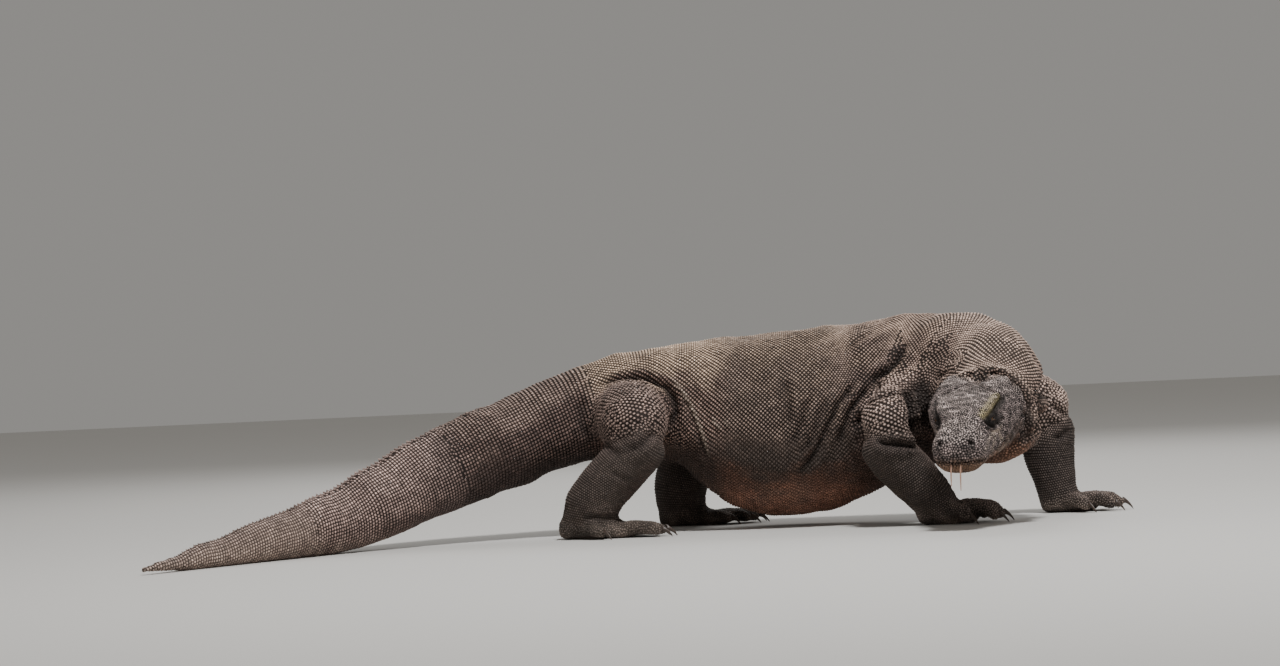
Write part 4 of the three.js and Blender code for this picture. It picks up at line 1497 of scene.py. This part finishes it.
    def in_rows(self, rows: ScaleRows, route: Route, names: list[str], face: Route | None = None) -> Scales:
        """Sets scales in rings round a line through a part of the body.

        Args:
            rows: How the rows are laid.
            route: The line.
            names: The nodes to cover.
            face: The line down the part's face that the rings are counted along, or none to count them
                along the first line.

        Returns:
            The scales on those nodes.
        """
        numbers = self.plan.node_numbers(*names)
        wanted = np.isin(self.face_owner, numbers)
        ends, _, _ = (face or route).locate(self.face_centre[wanted][:: 1 + wanted.sum() // 3000])
        pitch, space = rows.pitch * MM, rows.spacing * MM
        angles = np.linspace(-math.pi, math.pi, self.rays + 1)
        found = []
        for step in range(math.floor(ends.min() / pitch), math.ceil(ends.max() / pitch) + 1):
            centre, up, side = self.ring(step * rows.pitch * MM, route, face)
            ways = np.cos(angles)[:, None] * up + np.sin(angles)[:, None] * side
            hits, good = np.zeros((len(ways), 3)), np.zeros(len(ways), bool)
            for i, way in enumerate(ways):
                place, _, struck, _ = self.surface.tree.ray_cast(centre, way, self.reach)
                if struck is not None:
                    hits[i] = place
                    good[i] = wanted[struck]
            gaps = norms(np.diff(hits, axis=0))
            joined = good[1:] & good[:-1] & (gaps < self.leap)
            lengths = np.where(joined, gaps, np.minimum(gaps, self.step))
            top = self.rays // 2
            round_it = np.concatenate([[0], np.cumsum(lengths)])
            round_it -= round_it[top]
            first, last = math.ceil(round_it[0] / space), math.floor(round_it[-1] / space)
            marks = (np.arange(first, last + 1) + (0.5 * (step % 2) if rows.staggered else 0)) * space
            at = np.clip(np.searchsorted(round_it, marks) - 1, 0, len(joined) - 1)
            marks, at = marks[joined[at]], at[joined[at]]
            share = ((marks - round_it[at]) / np.maximum(lengths[at], TINY))[:, None]
            found.append(hits[at] + share * (hits[at + 1] - hits[at]))
        roots, faces = self.surface.nearest(np.vstack(found))
        return Scales.lot(roots, faces, rows.size, rows.shape)

    def thinned(self, scales: Scales) -> Scales:
        """Leaves out scales that crowd an earlier one.

        Args:
            scales: The scales, the most wanted first.

        Returns:
            The scales that stay.
        """
        tree = tree_of(scales.roots)
        kept = np.ones(len(scales.roots), bool)
        least = (2 * scales.sizes[:, 1] * self.thinning * MM).tolist()
        for i, root in enumerate(scales.roots):
            if kept[i]:
                kept[[j for _, j, _ in tree.find_range(root, least[i]) if j > i]] = False
        return scales.chosen(kept)

    def filling(self, scales: Scales, mesh: Mesh) -> Scales:
        """Throws further scales on the bare skin between those that are set.

        Args:
            scales: The scales that are set.
            mesh: The skin.

        Returns:
            The further scales.
        """
        mesh.calc_loop_triangles()
        corners = self.hide.places[read_all(mesh.loop_triangles, "vertices", 3, np.int64)]
        owners = read_all(mesh.loop_triangles, "polygon_index", kind=np.int64)
        a, b, c = corners.transpose(1, 0, 2)
        areas = norms(np.cross(b - a, c - a)) / 2
        crowd = areas / (self.spacing[owners] * MM) ** 2
        crowd[self.bare[owners]] = 0
        wanted = int(crowd.sum() * self.throws)
        picked = self.random.choice(len(crowd), wanted, p=crowd / crowd.sum())
        u, v = self.random.random((2, wanted))
        over = u + v > 1
        u[over], v[over] = 1 - u[over], 1 - v[over]
        places = a[picked] + u[:, None] * (b - a)[picked] + v[:, None] * (c - a)[picked]
        faces = owners[picked]
        spacing = self.spacing[faces] * MM * self.tight
        tree = tree_of(scales.roots)
        free = np.array([tree.find(place)[2] for place in places]) > spacing
        places, faces, spacing = places[free], faces[free], spacing[free]
        kept = self.apart(places, spacing)
        spread = spacing[kept] / self.tight
        roots, seats = self.evened(places[kept], faces[kept], spread, scales.roots)
        on_head = self.face_on_head[seats]
        sizes = spread[:, None] / MM * np.where(on_head[:, None], *self.loose_sizes)
        lot = Scales.lot(roots, seats, sizes, ScaleShape.BEAD)
        lot.shapes[on_head] = list(ScaleShape).index(ScaleShape.PEBBLE)
        return lot

    def apart(self, places: Array, spacing: Array) -> list[int]:
        """Picks places one after another that keep their spacing from those before.

        Args:
            places: Places in metres, in the order in which they are tried.
            spacing: The distance each keeps, in metres.

        Returns:
            The numbers of the picked places.
        """
        grid: dict[tuple[int, ...], list[tuple[float, ...]]] = {}
        reaches = (spacing // self.cell).astype(int) + 1
        steps = {r: list(product(range(-r, r + 1), repeat=3)) for r in set(reaches.tolist())}
        keys = np.floor(places / self.cell).astype(int).tolist()
        kept: list[int] = []
        for i, (spot, (x, y, z), reach, least) in enumerate(
            zip(places.tolist(), keys, reaches.tolist(), spacing.tolist())
        ):
            cells = (grid.get((x + dx, y + dy, z + dz), ()) for dx, dy, dz in steps[reach])
            if all(math.dist(spot, other) >= least for cell in cells for other in cell):
                grid.setdefault((x, y, z), []).append(spot)
                kept.append(i)
        return kept

    def evened(self, roots: Array, faces: Array, spacing: Array, fixed: Array) -> tuple[Array, Array]:
        """Moves loose scales apart until they are spread evenly.

        Args:
            roots: Their places.
            faces: The faces of the skin they stand on.
            spacing: The distance each wants from its neighbours, in metres.
            fixed: The places of the scales that stay where they are.

        Returns:
            The new places and faces.
        """
        for _ in range(self.rounds):
            everything = np.vstack([roots, fixed])
            tree = tree_of(everything)
            near = np.array([[j for _, j, _ in tree.find_n(root, self.neighbours)] for root in roots])
            away = roots[:, None] - everything[near]
            gaps = np.linalg.norm(away, axis=-1, keepdims=True)
            push = np.clip(spacing[:, None, None] * self.roomy - gaps, 0, None) * (gaps > TINY)
            step = (push * away / np.maximum(gaps, TINY)).sum(axis=1) * self.push
            moved, seats = self.surface.nearest(roots + step)
            allowed = ~self.bare[seats]
            roots = np.where(allowed[:, None], moved, roots)
            faces = np.where(allowed, seats, faces)
        return roots, faces

    def crest(self) -> Scales:
        """Sets the double row of small teeth along the top of the tail.

        Returns:
            The teeth.
        """
        rows, faces, sizes = [], [], []
        spine = self.plan.spine
        for distance in np.arange(*self.crest_rows)[:, None]:
            lines = (spine.places, spine.ups, spine.sides)
            centre, up, side = (spine.read(line, distance)[0] for line in lines)
            apart = self.crest_gap[0] + self.crest_gap[1] * min(distance[0], 1)
            for hand in (-1, 1):
                start = centre + hand * apart * side
                place, _, face, _ = self.surface.tree.ray_cast(start, unit(up), self.reach)
                if face is not None:
                    rows.append(place[:])
                    faces.append(face)
                    share = self.crest_growth[0] + self.crest_growth[1] * distance[0]
                    tall = share * smooth_share(distance[0], *self.crest_end)
                    sizes.append(np.array([share, share, tall]) * self.crest_size + [0, 0, 1])
        return Scales.lot(np.array(rows), np.array(faces), np.array(sizes), ScaleShape.CREST)

    def grown(self, mesh: Mesh) -> Scales:
        """Sets every scale of the animal.

        Args:
            mesh: The skin.

        Returns:
            The scales.
        """
        lots = [self.crest()]
        for rows in BODY_ROWS:
            lots.append(self.in_rows(rows, self.plan.spine, list(rows.nodes)))
        for rows in LEG_ROWS:
            for leg, route, face in zip(self.plan.legs, self.plan.leg_routes, self.plan.leg_faces):
                names = [name for name in (leg.upper, leg.lower) if name.endswith(rows.nodes)]
                lots.append(self.in_rows(rows, route, names, face))
        scales = self.thinned(Scales.joined(lots))
        loose = self.filling(scales, mesh)
        LOG.info("scales in rows: %d, between them: %d", len(scales.roots), len(loose.roots))
        return Scales.joined([scales, loose])

    def frames(self, scales: Scales) -> tuple[Array, Array]:
        """Finds how each scale lies.

        Args:
            scales: The scales.

        Returns:
            A matrix for each, with its way along, across and out as rows, and its place on the unwrap.
        """
        out = self.surface.face_normals[scales.faces]
        owners = self.face_owner[scales.faces]
        along = np.zeros_like(out)
        unwrap = np.zeros((len(out), 2))
        for number, route in enumerate(self.plan.route_of):
            mine = owners == number
            if not mine.any():
                continue
            places = scales.roots[mine]
            near = route.nearest(places)
            leads = -1 if route is self.plan.spine or route is self.plan.head_route else 1
            along[mine] = leads * route.tangents[near]
            distance, angle, _ = route.locate(places)
            unwrap[mine] = np.stack([angle / (2 * math.pi) + 0.5, distance], axis=-1)
        across = unit(np.cross(out, along) + TINY)
        along = np.cross(across, out)
        return np.stack([along, across, out], axis=1), unwrap

    def pieces(self, scales: Scales, groups: dict[str, tuple[str, ...]], materials: dict) -> None:
        """Joins the scales into pieces, each small enough to be kept whole.

        Args:
            scales: All scales.
            groups: The nodes that each piece covers, by the piece's name.
            materials: The material and slot for each piece's name.
        """
        frames, unwrap = self.frames(scales)
        owners = self.face_owner[scales.faces]
        count = np.array([self.templates[shape].triangles for shape in ScaleShape])[scales.shapes]
        draws = self.random.normal(size=(len(scales.roots), 6))
        for name, nodes in groups.items():
            mine = np.flatnonzero(np.isin(owners, self.plan.node_numbers(*nodes)))
            mine = mine[np.argsort(unwrap[mine, 1], kind="stable")]
            total = count[mine].sum()
            parts = math.ceil(total / self.most)
            bounds = np.searchsorted(np.cumsum(count[mine]), np.linspace(0, total, parts + 1)[1:-1])
            for number, chunk in enumerate(np.split(mine, bounds)):
                title = f"scales_{name}" if parts == 1 else f"scales_{name}_{number + 1}"
                material, slot = materials[name]
                mesh = self.joined(title, scales, chunk, frames, unwrap, draws)
                put_on_body(new_object(title, mesh, material), slot)

    def joined(
        self, title: str, scales: Scales, chunk: Array, frames: Array, unwrap: Array, draws: Array
    ) -> Mesh:
        """Makes the mesh of one piece.

        Args:
            title: The mesh's name.
            scales: All scales.
            chunk: The numbers of those in this piece.
            frames: How each scale lies.
            unwrap: Where each lies on the unwrap.
            draws: Six random numbers for each.

        Returns:
            The joined scales.
        """
        spots = unwrap[chunk]
        low, high = spots[:, 1].min(), spots[:, 1].max()
        spots = np.stack([spots[:, 0], (spots[:, 1] - low) / (high - low)], axis=-1)
        spots = self.margin + (1 - 2 * self.margin) * spots
        places, corners, starts, relief, tints, maps = [], [], [], [], [], []
        known, looped = 0, 0
        for index, shape in enumerate(ScaleShape):
            picked = scales.shapes[chunk] == index
            mine = chunk[picked]
            if not len(mine):
                continue
            template, draw = self.templates[shape], draws[mine]
            size = scales.sizes[mine] * (1 + np.clip(draw[:, :3], -2, 2) * self.unevenness) * MM
            turn = self.wander[0] * draw[:, 3:4]
            x, y, z = (template.places * size[:, None]).transpose(2, 0, 1)
            z = z - np.where(template.places[:, 2] < WELD, self.sunk * MM, 0) + self.lift * x
            x, y = x * np.cos(turn) - y * np.sin(turn), x * np.sin(turn) + y * np.cos(turn)
            local = np.stack([x, y, z], axis=-1)
            world = scales.roots[mine][:, None] + np.einsum("nij,njk->nik", local, frames[mine])
            world[..., 2] = np.maximum(world[..., 2], 0)
            places.append(world.reshape(-1, 3))
            count, corner_count, numbers = len(template.places), len(template.corners), np.arange(len(mine))
            corners.append((known + count * numbers[:, None] + template.corners).ravel())
            starts.append((looped + corner_count * numbers[:, None] + template.starts).ravel())
            known += count * len(mine)
            looped += corner_count * len(mine)
            faces = scales.faces[mine]
            # the scale's relief runs from painted shade at its rim to rubbing and a painted highlight on its
            # tip
            worn = self.face_wear_and_light[faces] * np.clip(1 + self.wander[1] * draw[:, 5], 0.4, 1.4)
            relief.append((DULL + worn[:, None] * (template.relief - DULL)).ravel())
            tint = self.face_pigment[faces] * np.exp(self.wander[2] * draw[:, 4:5])
            if shape is ScaleShape.CREST:
                tint = tint * self.crest_shade
            tints.append(np.repeat(tint, count, axis=0))
            flat = template.places[template.corners, :2] * self.patch / 2
            maps.append((spots[picked][:, None] + flat).reshape(-1, 2))
        mesh = bpy.data.meshes.new(title)
        places, corners, starts = np.vstack(places), np.concatenate(corners), np.concatenate(starts)
        mesh.vertices.add(len(places))
        mesh.vertices.foreach_set("co", places.ravel())
        mesh.loops.add(len(corners))
        mesh.loops.foreach_set("vertex_index", corners.astype(np.int32))
        mesh.polygons.add(len(starts))
        mesh.polygons.foreach_set("loop_start", starts.astype(np.int32))
        mesh.update(calc_edges=True)
        mesh.uv_layers.new(name="OFBake").data.foreach_set("uv", np.vstack(maps).ravel())
        add_paint(mesh, np.vstack(tints), np.concatenate(relief))
        return mesh


def add_numbers(mesh: Mesh, name: str, values: Array) -> None:
    """Gives each vertex of a mesh a number of its own."""
    mesh.attributes.new(name, "FLOAT", "POINT").data.foreach_set("value", values)


def add_paint(mesh: Mesh, colours: Array, relief: Array) -> None:
    """Gives each vertex of a mesh its own linear pigment and its relief, from 0 at a rim in painted shade to
    1 where rubbed and painted light.
    """
    full = np.hstack([np.clip(colours, 0, 1), np.ones((len(colours), 1))])
    mesh.attributes.new("pigment", "FLOAT_COLOR", "POINT").data.foreach_set("color", full.ravel())
    add_numbers(mesh, "relief", relief)


# --- finishes


class Finish:
    """What all finishes share."""

    def surface(self, tree: NodeTree) -> Node:
        """The shader, with all that leads to it."""
        raise NotImplementedError

    def material(self, name: str) -> Material:
        """Makes the material.

        Args:
            name: What the real one is, and how it was made.

        Returns:
            The material.
        """
        material = bpy.data.materials.new(name)
        material.use_nodes = True
        material.node_tree.nodes.clear()
        shader = self.surface(material.node_tree)
        add_node(material.node_tree, "OutputMaterial", links={"Surface": (shader, "BSDF")})
        return material


class KeratinFinish(Finish):
    """What skin and scales share: the pigment, brightened by rubbing and a painted highlight, darkened by
    painted shade, and mottled by fine noises.
    """

    def paint(
        self, tree: NodeTree, wear_and_light: dict[str, float], noises: tuple[Point, ...]
    ) -> tuple[Node, Node, Node]:
        """Makes the colour.

        Args:
            tree: The node tree.
            wear_and_light: The reliefs and the brightness between which the wear runs.
            noises: The size in millimetres, detail and strength of each noise, the finest first.

        Returns:
            The nodes of the colour, the relief and the finest noise.
        """
        place = add_node(tree, "TexCoord")
        pigment = add_node(tree, "Attribute", {"attribute_name": "pigment"})
        relief = add_node(tree, "Attribute", {"attribute_name": "relief"})
        shade = add_node(tree, "MapRange", wear_and_light, {"Value": (relief, "Fac")})
        fields = []
        for size, detail, strength in noises:
            fields.append(add_node(
                tree, "TexNoise", {"Scale": 1 / (size * MM), "Detail": detail}, {"Vector": (place, "Object")}
            ))
            mottle = {"From Min": 0.3, "From Max": 0.7, "To Min": 1 - strength, "To Max": 1 + strength}
            specks = add_node(tree, "MapRange", mottle, {"Value": (fields[-1], "Fac")})
            shade = add_node(tree, "Math", {"operation": "MULTIPLY"}, {0: (shade, 0), 1: (specks, 0)})
        colour = add_node(
            tree, "VectorMath", {"operation": "SCALE"}, {0: (pigment, "Color"), "Scale": (shade, "Value")}
        )
        return colour, relief, fields[0]


@dataclass(frozen=True)
class SkinFinish(KeratinFinish):
    """Hide between the scales: dry, creased keratin, darker than the scales that stand in it, with painted
    shade between them.
    """

    shade: Pair = (0.17, 0.6)  # brightness where scales are worn and lit, which is painted shade between them, and where not
    roughness: float = 0.82
    grain: Point = (1.6, 3.0, 0.3)  # millimetres, detail and strength

    def surface(self, tree: NodeTree) -> Node:
        """Makes the matt, finely creased shader.

        Args:
            tree: The material's node tree.

        Returns:
            The shader's node.
        """
        wear_and_light = {"From Max": DULL, "To Min": self.shade[0], "To Max": self.shade[1]}
        colour, _, grain = self.paint(tree, wear_and_light, (self.grain,))
        bump = add_node(tree, "Bump", {"Strength": 0.5, "Distance": 0.0004}, {"Height": (grain, "Fac")})
        return add_node(
            tree, "BsdfPrincipled", {"Roughness": self.roughness, "Specular IOR Level": 0.3},
            {"Base Color": (colour, "Vector"), "Normal": (bump, "Normal")},
        )


@dataclass(frozen=True)
class ScaleFinish(KeratinFinish):
    """Keratin scales: dull and dark at the rim with painted shade, rubbed pale with a painted highlight and a
    little glossy on top, with dust.
    """

    rim: float = 0.2  # brightness beside the pigment's own at the rim, which is painted shade, and on the tip, which is rubbing and a painted highlight
    tip: float = 4.0
    roughness: Pair = (0.78, 0.5)  # at the rim and on the tip
    grain: Point = (2.4, 3.0, 0.18)  # millimetres, about three specks on a scale
    dust: Point = (28.0, 2.0, 0.12)  # millimetres, patches of dust

    def surface(self, tree: NodeTree) -> Node:
        """Makes the shader, glossier where the scales are worn.

        Args:
            tree: The material's node tree.

        Returns:
            The shader's node.
        """
        wear_and_light = {"To Min": self.rim, "To Max": self.tip}
        colour, relief, grain = self.paint(tree, wear_and_light, (self.grain, self.dust))
        dull, glossy = self.roughness
        rough = add_node(tree, "MapRange", {"To Min": dull, "To Max": glossy}, {"Value": (relief, "Fac")})
        bump = add_node(tree, "Bump", {"Strength": 0.35, "Distance": 0.0003}, {"Height": (grain, "Fac")})
        return add_node(
            tree, "BsdfPrincipled", {"Specular IOR Level": 0.45},
            {"Base Color": (colour, "Vector"), "Roughness": (rough, "Result"), "Normal": (bump, "Normal")},
        )


@dataclass(frozen=True)
class HornFinish(Finish):
    """Claw horn: grown in thin layers, dark with paler streaks, worn smooth."""

    dark: str = "#231c19"
    pale: str = "#5a4a40"
    roughness: float = 0.42
    layer: float = 3.1  # millimetres from one streak to the next

    def surface(self, tree: NodeTree) -> Node:
        """Makes the streaky, polished shader.

        Args:
            tree: The material's node tree.

        Returns:
            The shader's node.
        """
        place = add_node(tree, "TexCoord")
        streaks = {"Scale": 1 / (self.layer * MM), "Detail": 4.0, "Distortion": 1.2}
        layers = add_node(tree, "TexNoise", streaks, {"Vector": (place, "Object")})
        colours = {"data_type": "RGBA", 6: linear(self.dark), 7: linear(self.pale)}
        blend = add_node(tree, "Mix", colours, {0: (layers, "Fac")})
        bump = add_node(tree, "Bump", {"Strength": 0.3, "Distance": 0.0003}, {"Height": (layers, "Fac")})
        return add_node(
            tree, "BsdfPrincipled", {"Roughness": self.roughness},
            {"Base Color": (blend, 2), "Normal": (bump, "Normal")},
        )


@dataclass(frozen=True)
class EyeFinish(Finish):
    """A wet eyeball: a dark brown iris with a fine pale ring round the pupil, under a clear cornea."""

    pupil: str = "#050403"
    ring: str = "#6e4c28"
    iris: str = "#3d2716"
    rim: str = "#120c09"
    edge: float = 90.0  # degrees from the gaze at which the bands end
    fibre: float = 1.1  # millimetres
    waver: float = 4.0  # degrees by which the fibres blur the bands

    def surface(self, tree: NodeTree) -> Node:
        """Makes the wet shader, coloured by how far round the ball each place is.

        Args:
            tree: The material's node tree.

        Returns:
            The shader's node.
        """
        turn = add_node(tree, "Attribute", {"attribute_name": "turn"})
        place = add_node(tree, "TexCoord")
        fibres = add_node(
            tree, "TexNoise", {"Scale": 1 / (self.fibre * MM), "Detail": 2.0}, {"Vector": (place, "Object")}
        )
        blur = {"operation": "MULTIPLY_ADD", 1: self.waver, 2: -self.waver / 2}
        mixed = add_node(tree, "Math", blur, {0: (fibres, "Fac")})
        angle = add_node(tree, "Math", {"operation": "ADD"}, {0: (turn, "Fac"), 1: (mixed, "Value")})
        share = add_node(tree, "MapRange", {"From Max": self.edge}, {"Value": (angle, "Value")})
        ramp = add_node(tree, "ValToRGB", links={"Fac": (share, "Result")})
        stops = (
            (0.0, self.pupil), (0.16, self.pupil), (0.2, self.ring), (0.32, self.iris), (0.46, self.iris),
            (0.54, self.rim), (1.0, self.rim),
        )
        band = ramp.color_ramp
        for position, _ in stops[1:-1]:
            band.elements.new(position)
        for element, (_, colour) in zip(band.elements, stops):
            element.color = linear(colour)
        wet = {"Roughness": 0.12, "IOR": 1.38, "Coat Weight": 0.3, "Coat Roughness": 0.02}
        return add_node(tree, "BsdfPrincipled", wet, {"Base Color": (ramp, "Color")})


@dataclass(frozen=True)
class TongueFinish(Finish):
    """A wet tongue: smooth pale flesh with light under its surface."""

    flesh: str = "#c9a48f"
    deep: str = "#a8806c"
    spot: float = 4.0  # millimetres

    def surface(self, tree: NodeTree) -> Node:
        """Makes the wet, faintly spotted shader.

        Args:
            tree: The material's node tree.

        Returns:
            The shader's node.
        """
        place = add_node(tree, "TexCoord")
        spots = add_node(
            tree, "TexNoise", {"Scale": 1 / (self.spot * MM), "Detail": 3.0}, {"Vector": (place, "Object")}
        )
        colours = {"data_type": "RGBA", 6: linear(self.flesh), 7: linear(self.deep)}
        blend = add_node(tree, "Mix", colours, {0: (spots, "Fac")})
        wet = {"Roughness": 0.28, "Subsurface Weight": 0.15, "Subsurface Scale": 0.002}
        return add_node(tree, "BsdfPrincipled", wet, {"Base Color": (blend, 2)})


@dataclass(frozen=True)
class FloorFinish(Finish):
    """Matt wall paint, rolled on."""

    colour: str = "#d9d7d3"

    def surface(self, tree: NodeTree) -> Node:
        """The plain matt shader."""
        return add_node(tree, "BsdfPrincipled", {"Base Color": linear(self.colour), "Roughness": 0.9})


# --- eyes, claws and tongue


@dataclass
class Eyes:
    """Both eyeballs, behind their lids."""

    plan: BodyPlan
    features: HeadFeatures
    finish: EyeFinish = EyeFinish()
    bulge: float = 0.05  # how far the cornea stands out, as a share of the radius
    cornea: float = 28.0  # how wide it is, in degrees from the gaze

    def build(self) -> None:
        """Makes the eyeballs."""
        material = self.finish.material("wet_eyeball")
        for name, side in (("left_eye", 1), ("right_eye", -1)):
            signs = np.array([1, side, 1])
            gaze = unit(np.array(self.features.gaze) * signs)
            ball = bmesh.new()
            bmesh.ops.create_icosphere(ball, subdivisions=4, radius=self.features.ball)
            places = np.array([vertex.co[:] for vertex in ball.verts])
            turn = np.degrees(np.arccos(np.clip(unit(places) @ gaze, -1, 1)))
            places *= (1 + self.bulge * bell(turn, self.cornea))[:, None]
            world = self.plan.from_head(places + np.array(self.features.eye) * signs)
            for vertex, place in zip(ball.verts, world):
                vertex.co = place
            mesh = mesh_of(f"{name}ball", ball)
            add_numbers(mesh, "turn", turn)
            put_on_body(new_object(f"{name}ball", mesh, material), "eye", name)


@dataclass
class Refined:
    """Small hard or wet parts that keep the solids' shape, made smooth."""

    levels: int = 2
    root: float = 5.0  # how far a claw's root is set into its toe
    rooted: float = 0.45  # how much of the claw is drawn with it
    flat: Pair = (50, 60)  # degrees of turn and skew up to which triangles are joined

    def sink(self, copy: bmesh.types.BMesh, foot: str) -> None:
        """Draws the root of a claw out into the toe that bears it.

        Args:
            copy: The claw.
            foot: The node of the foot.
        """
        low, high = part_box(foot)
        places = np.array([vertex.co[:] for vertex in copy.verts])
        middle = places.mean(axis=0)
        axis = np.linalg.svd(places - middle)[2][0]
        axis *= np.sign(axis @ (np.array((low + high) / 2) - middle))
        along = places @ axis
        share = smooth_share(along, along.max() - self.rooted * np.ptp(along), along.max())
        for vertex, pull in zip(copy.verts, share * self.root * MM):
            vertex.co += Vector(axis * pull)

    def build(self, node: Object, title: str, slot: str, material: Material, grow: float) -> None:
        """Makes a smooth copy of a solid.

        Args:
            node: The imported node.
            title: The new piece's name.
            slot: Its material slot.
            material: Its material.
            grow: How far it is grown, in millimetres, to make up for the smoothing.
        """
        copy = bmesh.new()
        copy.from_mesh(node.data)
        bmesh.ops.remove_doubles(copy, verts=copy.verts, dist=WELD)
        turn, skew = (math.radians(angle) for angle in self.flat)
        bmesh.ops.join_triangles(
            copy, faces=copy.faces, angle_face_threshold=turn, angle_shape_threshold=skew
        )
        if "_claw_" in node.name:
            self.sink(copy, node.name.split("_claw_")[0])
        copy.normal_update()
        low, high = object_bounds()
        for vertex in copy.verts:
            place = vertex.co + vertex.normal * grow * MM
            vertex.co = [min(max(value, least), most) for value, least, most in zip(place, low, high)]
        piece = new_object(title, mesh_of(title, copy), material)
        rounding = piece.modifiers.new("rounding", "SUBSURF")
        rounding.levels = rounding.render_levels = self.levels
        put_on_body(piece, slot, node.name)


# --- studio


@dataclass
class Studio:
    """A pale floor, soft lights and the camera."""

    camera_at: Point = (-0.026, -7.951, 0.417)
    lens: float = 110.0
    roll: float = -2.6  # degrees
    floor: float = 30.0  # metres across
    paint: FloorFinish = FloorFinish()
    world: tuple[str, float] = ("#eeebe6", 0.33)
    lights: tuple[tuple[str, Point, Point, float, float], ...] = (
        # name, place, aim, size and watts
        ("key", (1.0, -1.8, 4.4), (0.1, 0, 0.2), 0.7, 190),
        ("fill", (3.0, -4.5, 1.6), (0.2, 0, 0.2), 2.5, 12),
        ("back", (0.5, 4.0, 3.2), (0.0, 0, 0.2), 2.0, 70),
    )

    def build(self) -> None:
        """Sets up the floor, the lights and the camera."""
        plate = bmesh.new()
        bmesh.ops.create_grid(plate, x_segments=1, y_segments=1, size=self.floor / 2)
        new_object("floor", mesh_of("floor", plate), self.paint.material("matt_paint"))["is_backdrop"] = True
        world = bpy.data.worlds.new("studio")
        bpy.context.scene.world = world
        world.use_nodes = True
        background = world.node_tree.nodes["Background"]
        background.inputs["Color"].default_value = linear(self.world[0])
        background.inputs["Strength"].default_value = self.world[1]
        for light in self.lights:
            self.light(*light)
        lens = bpy.data.cameras.new("camera")
        lens.lens, lens.sensor_width = self.lens, 36.0
        lens.clip_end = 100.0
        camera = bpy.data.objects.new("camera", lens)
        turn = Matrix.Rotation(math.radians(90), 4, "X") @ Matrix.Rotation(math.radians(self.roll), 4, "Z")
        camera.matrix_world = Matrix.Translation(self.camera_at) @ turn
        bpy.context.scene.collection.objects.link(camera)
        bpy.context.scene.camera = camera
        bpy.context.scene.view_settings.view_transform = "AgX"

    def light(self, name: str, at: Point, towards: Point, size: float, power: float) -> None:
        """Hangs one square soft light.

        Args:
            name: The light's name.
            at: Where it hangs, in metres.
            towards: What it is aimed at.
            size: Its side in metres.
            power: Its watts.
        """
        lamp = bpy.data.lights.new(name, "AREA")
        lamp.size, lamp.energy = size, power
        holder = bpy.data.objects.new(name, lamp)
        way = Vector(towards) - Vector(at)
        holder.matrix_world = Matrix.Translation(at) @ way.to_track_quat("-Z", "Y").to_matrix().to_4x4()
        bpy.context.scene.collection.objects.link(holder)


# --- the whole model


def main() -> None:
    """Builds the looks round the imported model."""
    logging.basicConfig(level=logging.INFO, format="%(name)s: %(message)s")
    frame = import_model()
    nodes = frame["nodes"]
    Studio().build()
    plan = BodyPlan()
    features = HeadFeatures()
    hide = Hide(plan, features)
    mesh = hide.build(nodes)
    markings = Markings(plan, features)
    hide.pigment, hide.wear_and_light = markings.paint(hide), markings.wear_and_light(hide)
    # the skin's relief falls where the scales are worn and lit, so the skin between them is painted darker:
    # painted shade between the scales
    add_paint(mesh, hide.pigment, DULL * (1 - hide.wear_and_light))
    mesh.name = "skin"
    skin = new_object("skin", mesh, SkinFinish().material("hide_between_scales"))
    put_on_body(skin, "hide", *plan.flesh)
    coat = Coat(plan, hide, features, Surface(mesh))
    scales = coat.grown(mesh)
    body = ScaleFinish().material("keratin_scales")
    head = ScaleFinish(tip=4.5).material("keratin_head_scales")
    groups = {"tail": TAIL_NODES, "trunk": TRUNK_NODES, "neck": ("neck",), "head": HEAD_NODES}
    for leg in plan.legs:
        whole = leg.upper.replace("thigh", "hind_leg").replace("upper_arm", "foreleg")
        groups[whole] = (leg.upper, leg.lower)
        groups[leg.foot] = (leg.foot,)
    materials = {name: (head, "head_hide") if name == "head" else (body, "hide") for name in groups}
    coat.pieces(scales, groups, materials)
    Eyes(plan, features).build()
    horn = HornFinish().material("claw_horn")
    for name, node in nodes.items():
        if "_claw_" in name:
            Refined().build(node, name.replace("claw", "horn_claw"), "claw", horn, 0.5)
    flesh = TongueFinish().material("wet_tongue")
    Refined().build(nodes["tongue"], "forked_tongue", "tongue", flesh, 0.3)


if __name__ == "__main__":
    main()
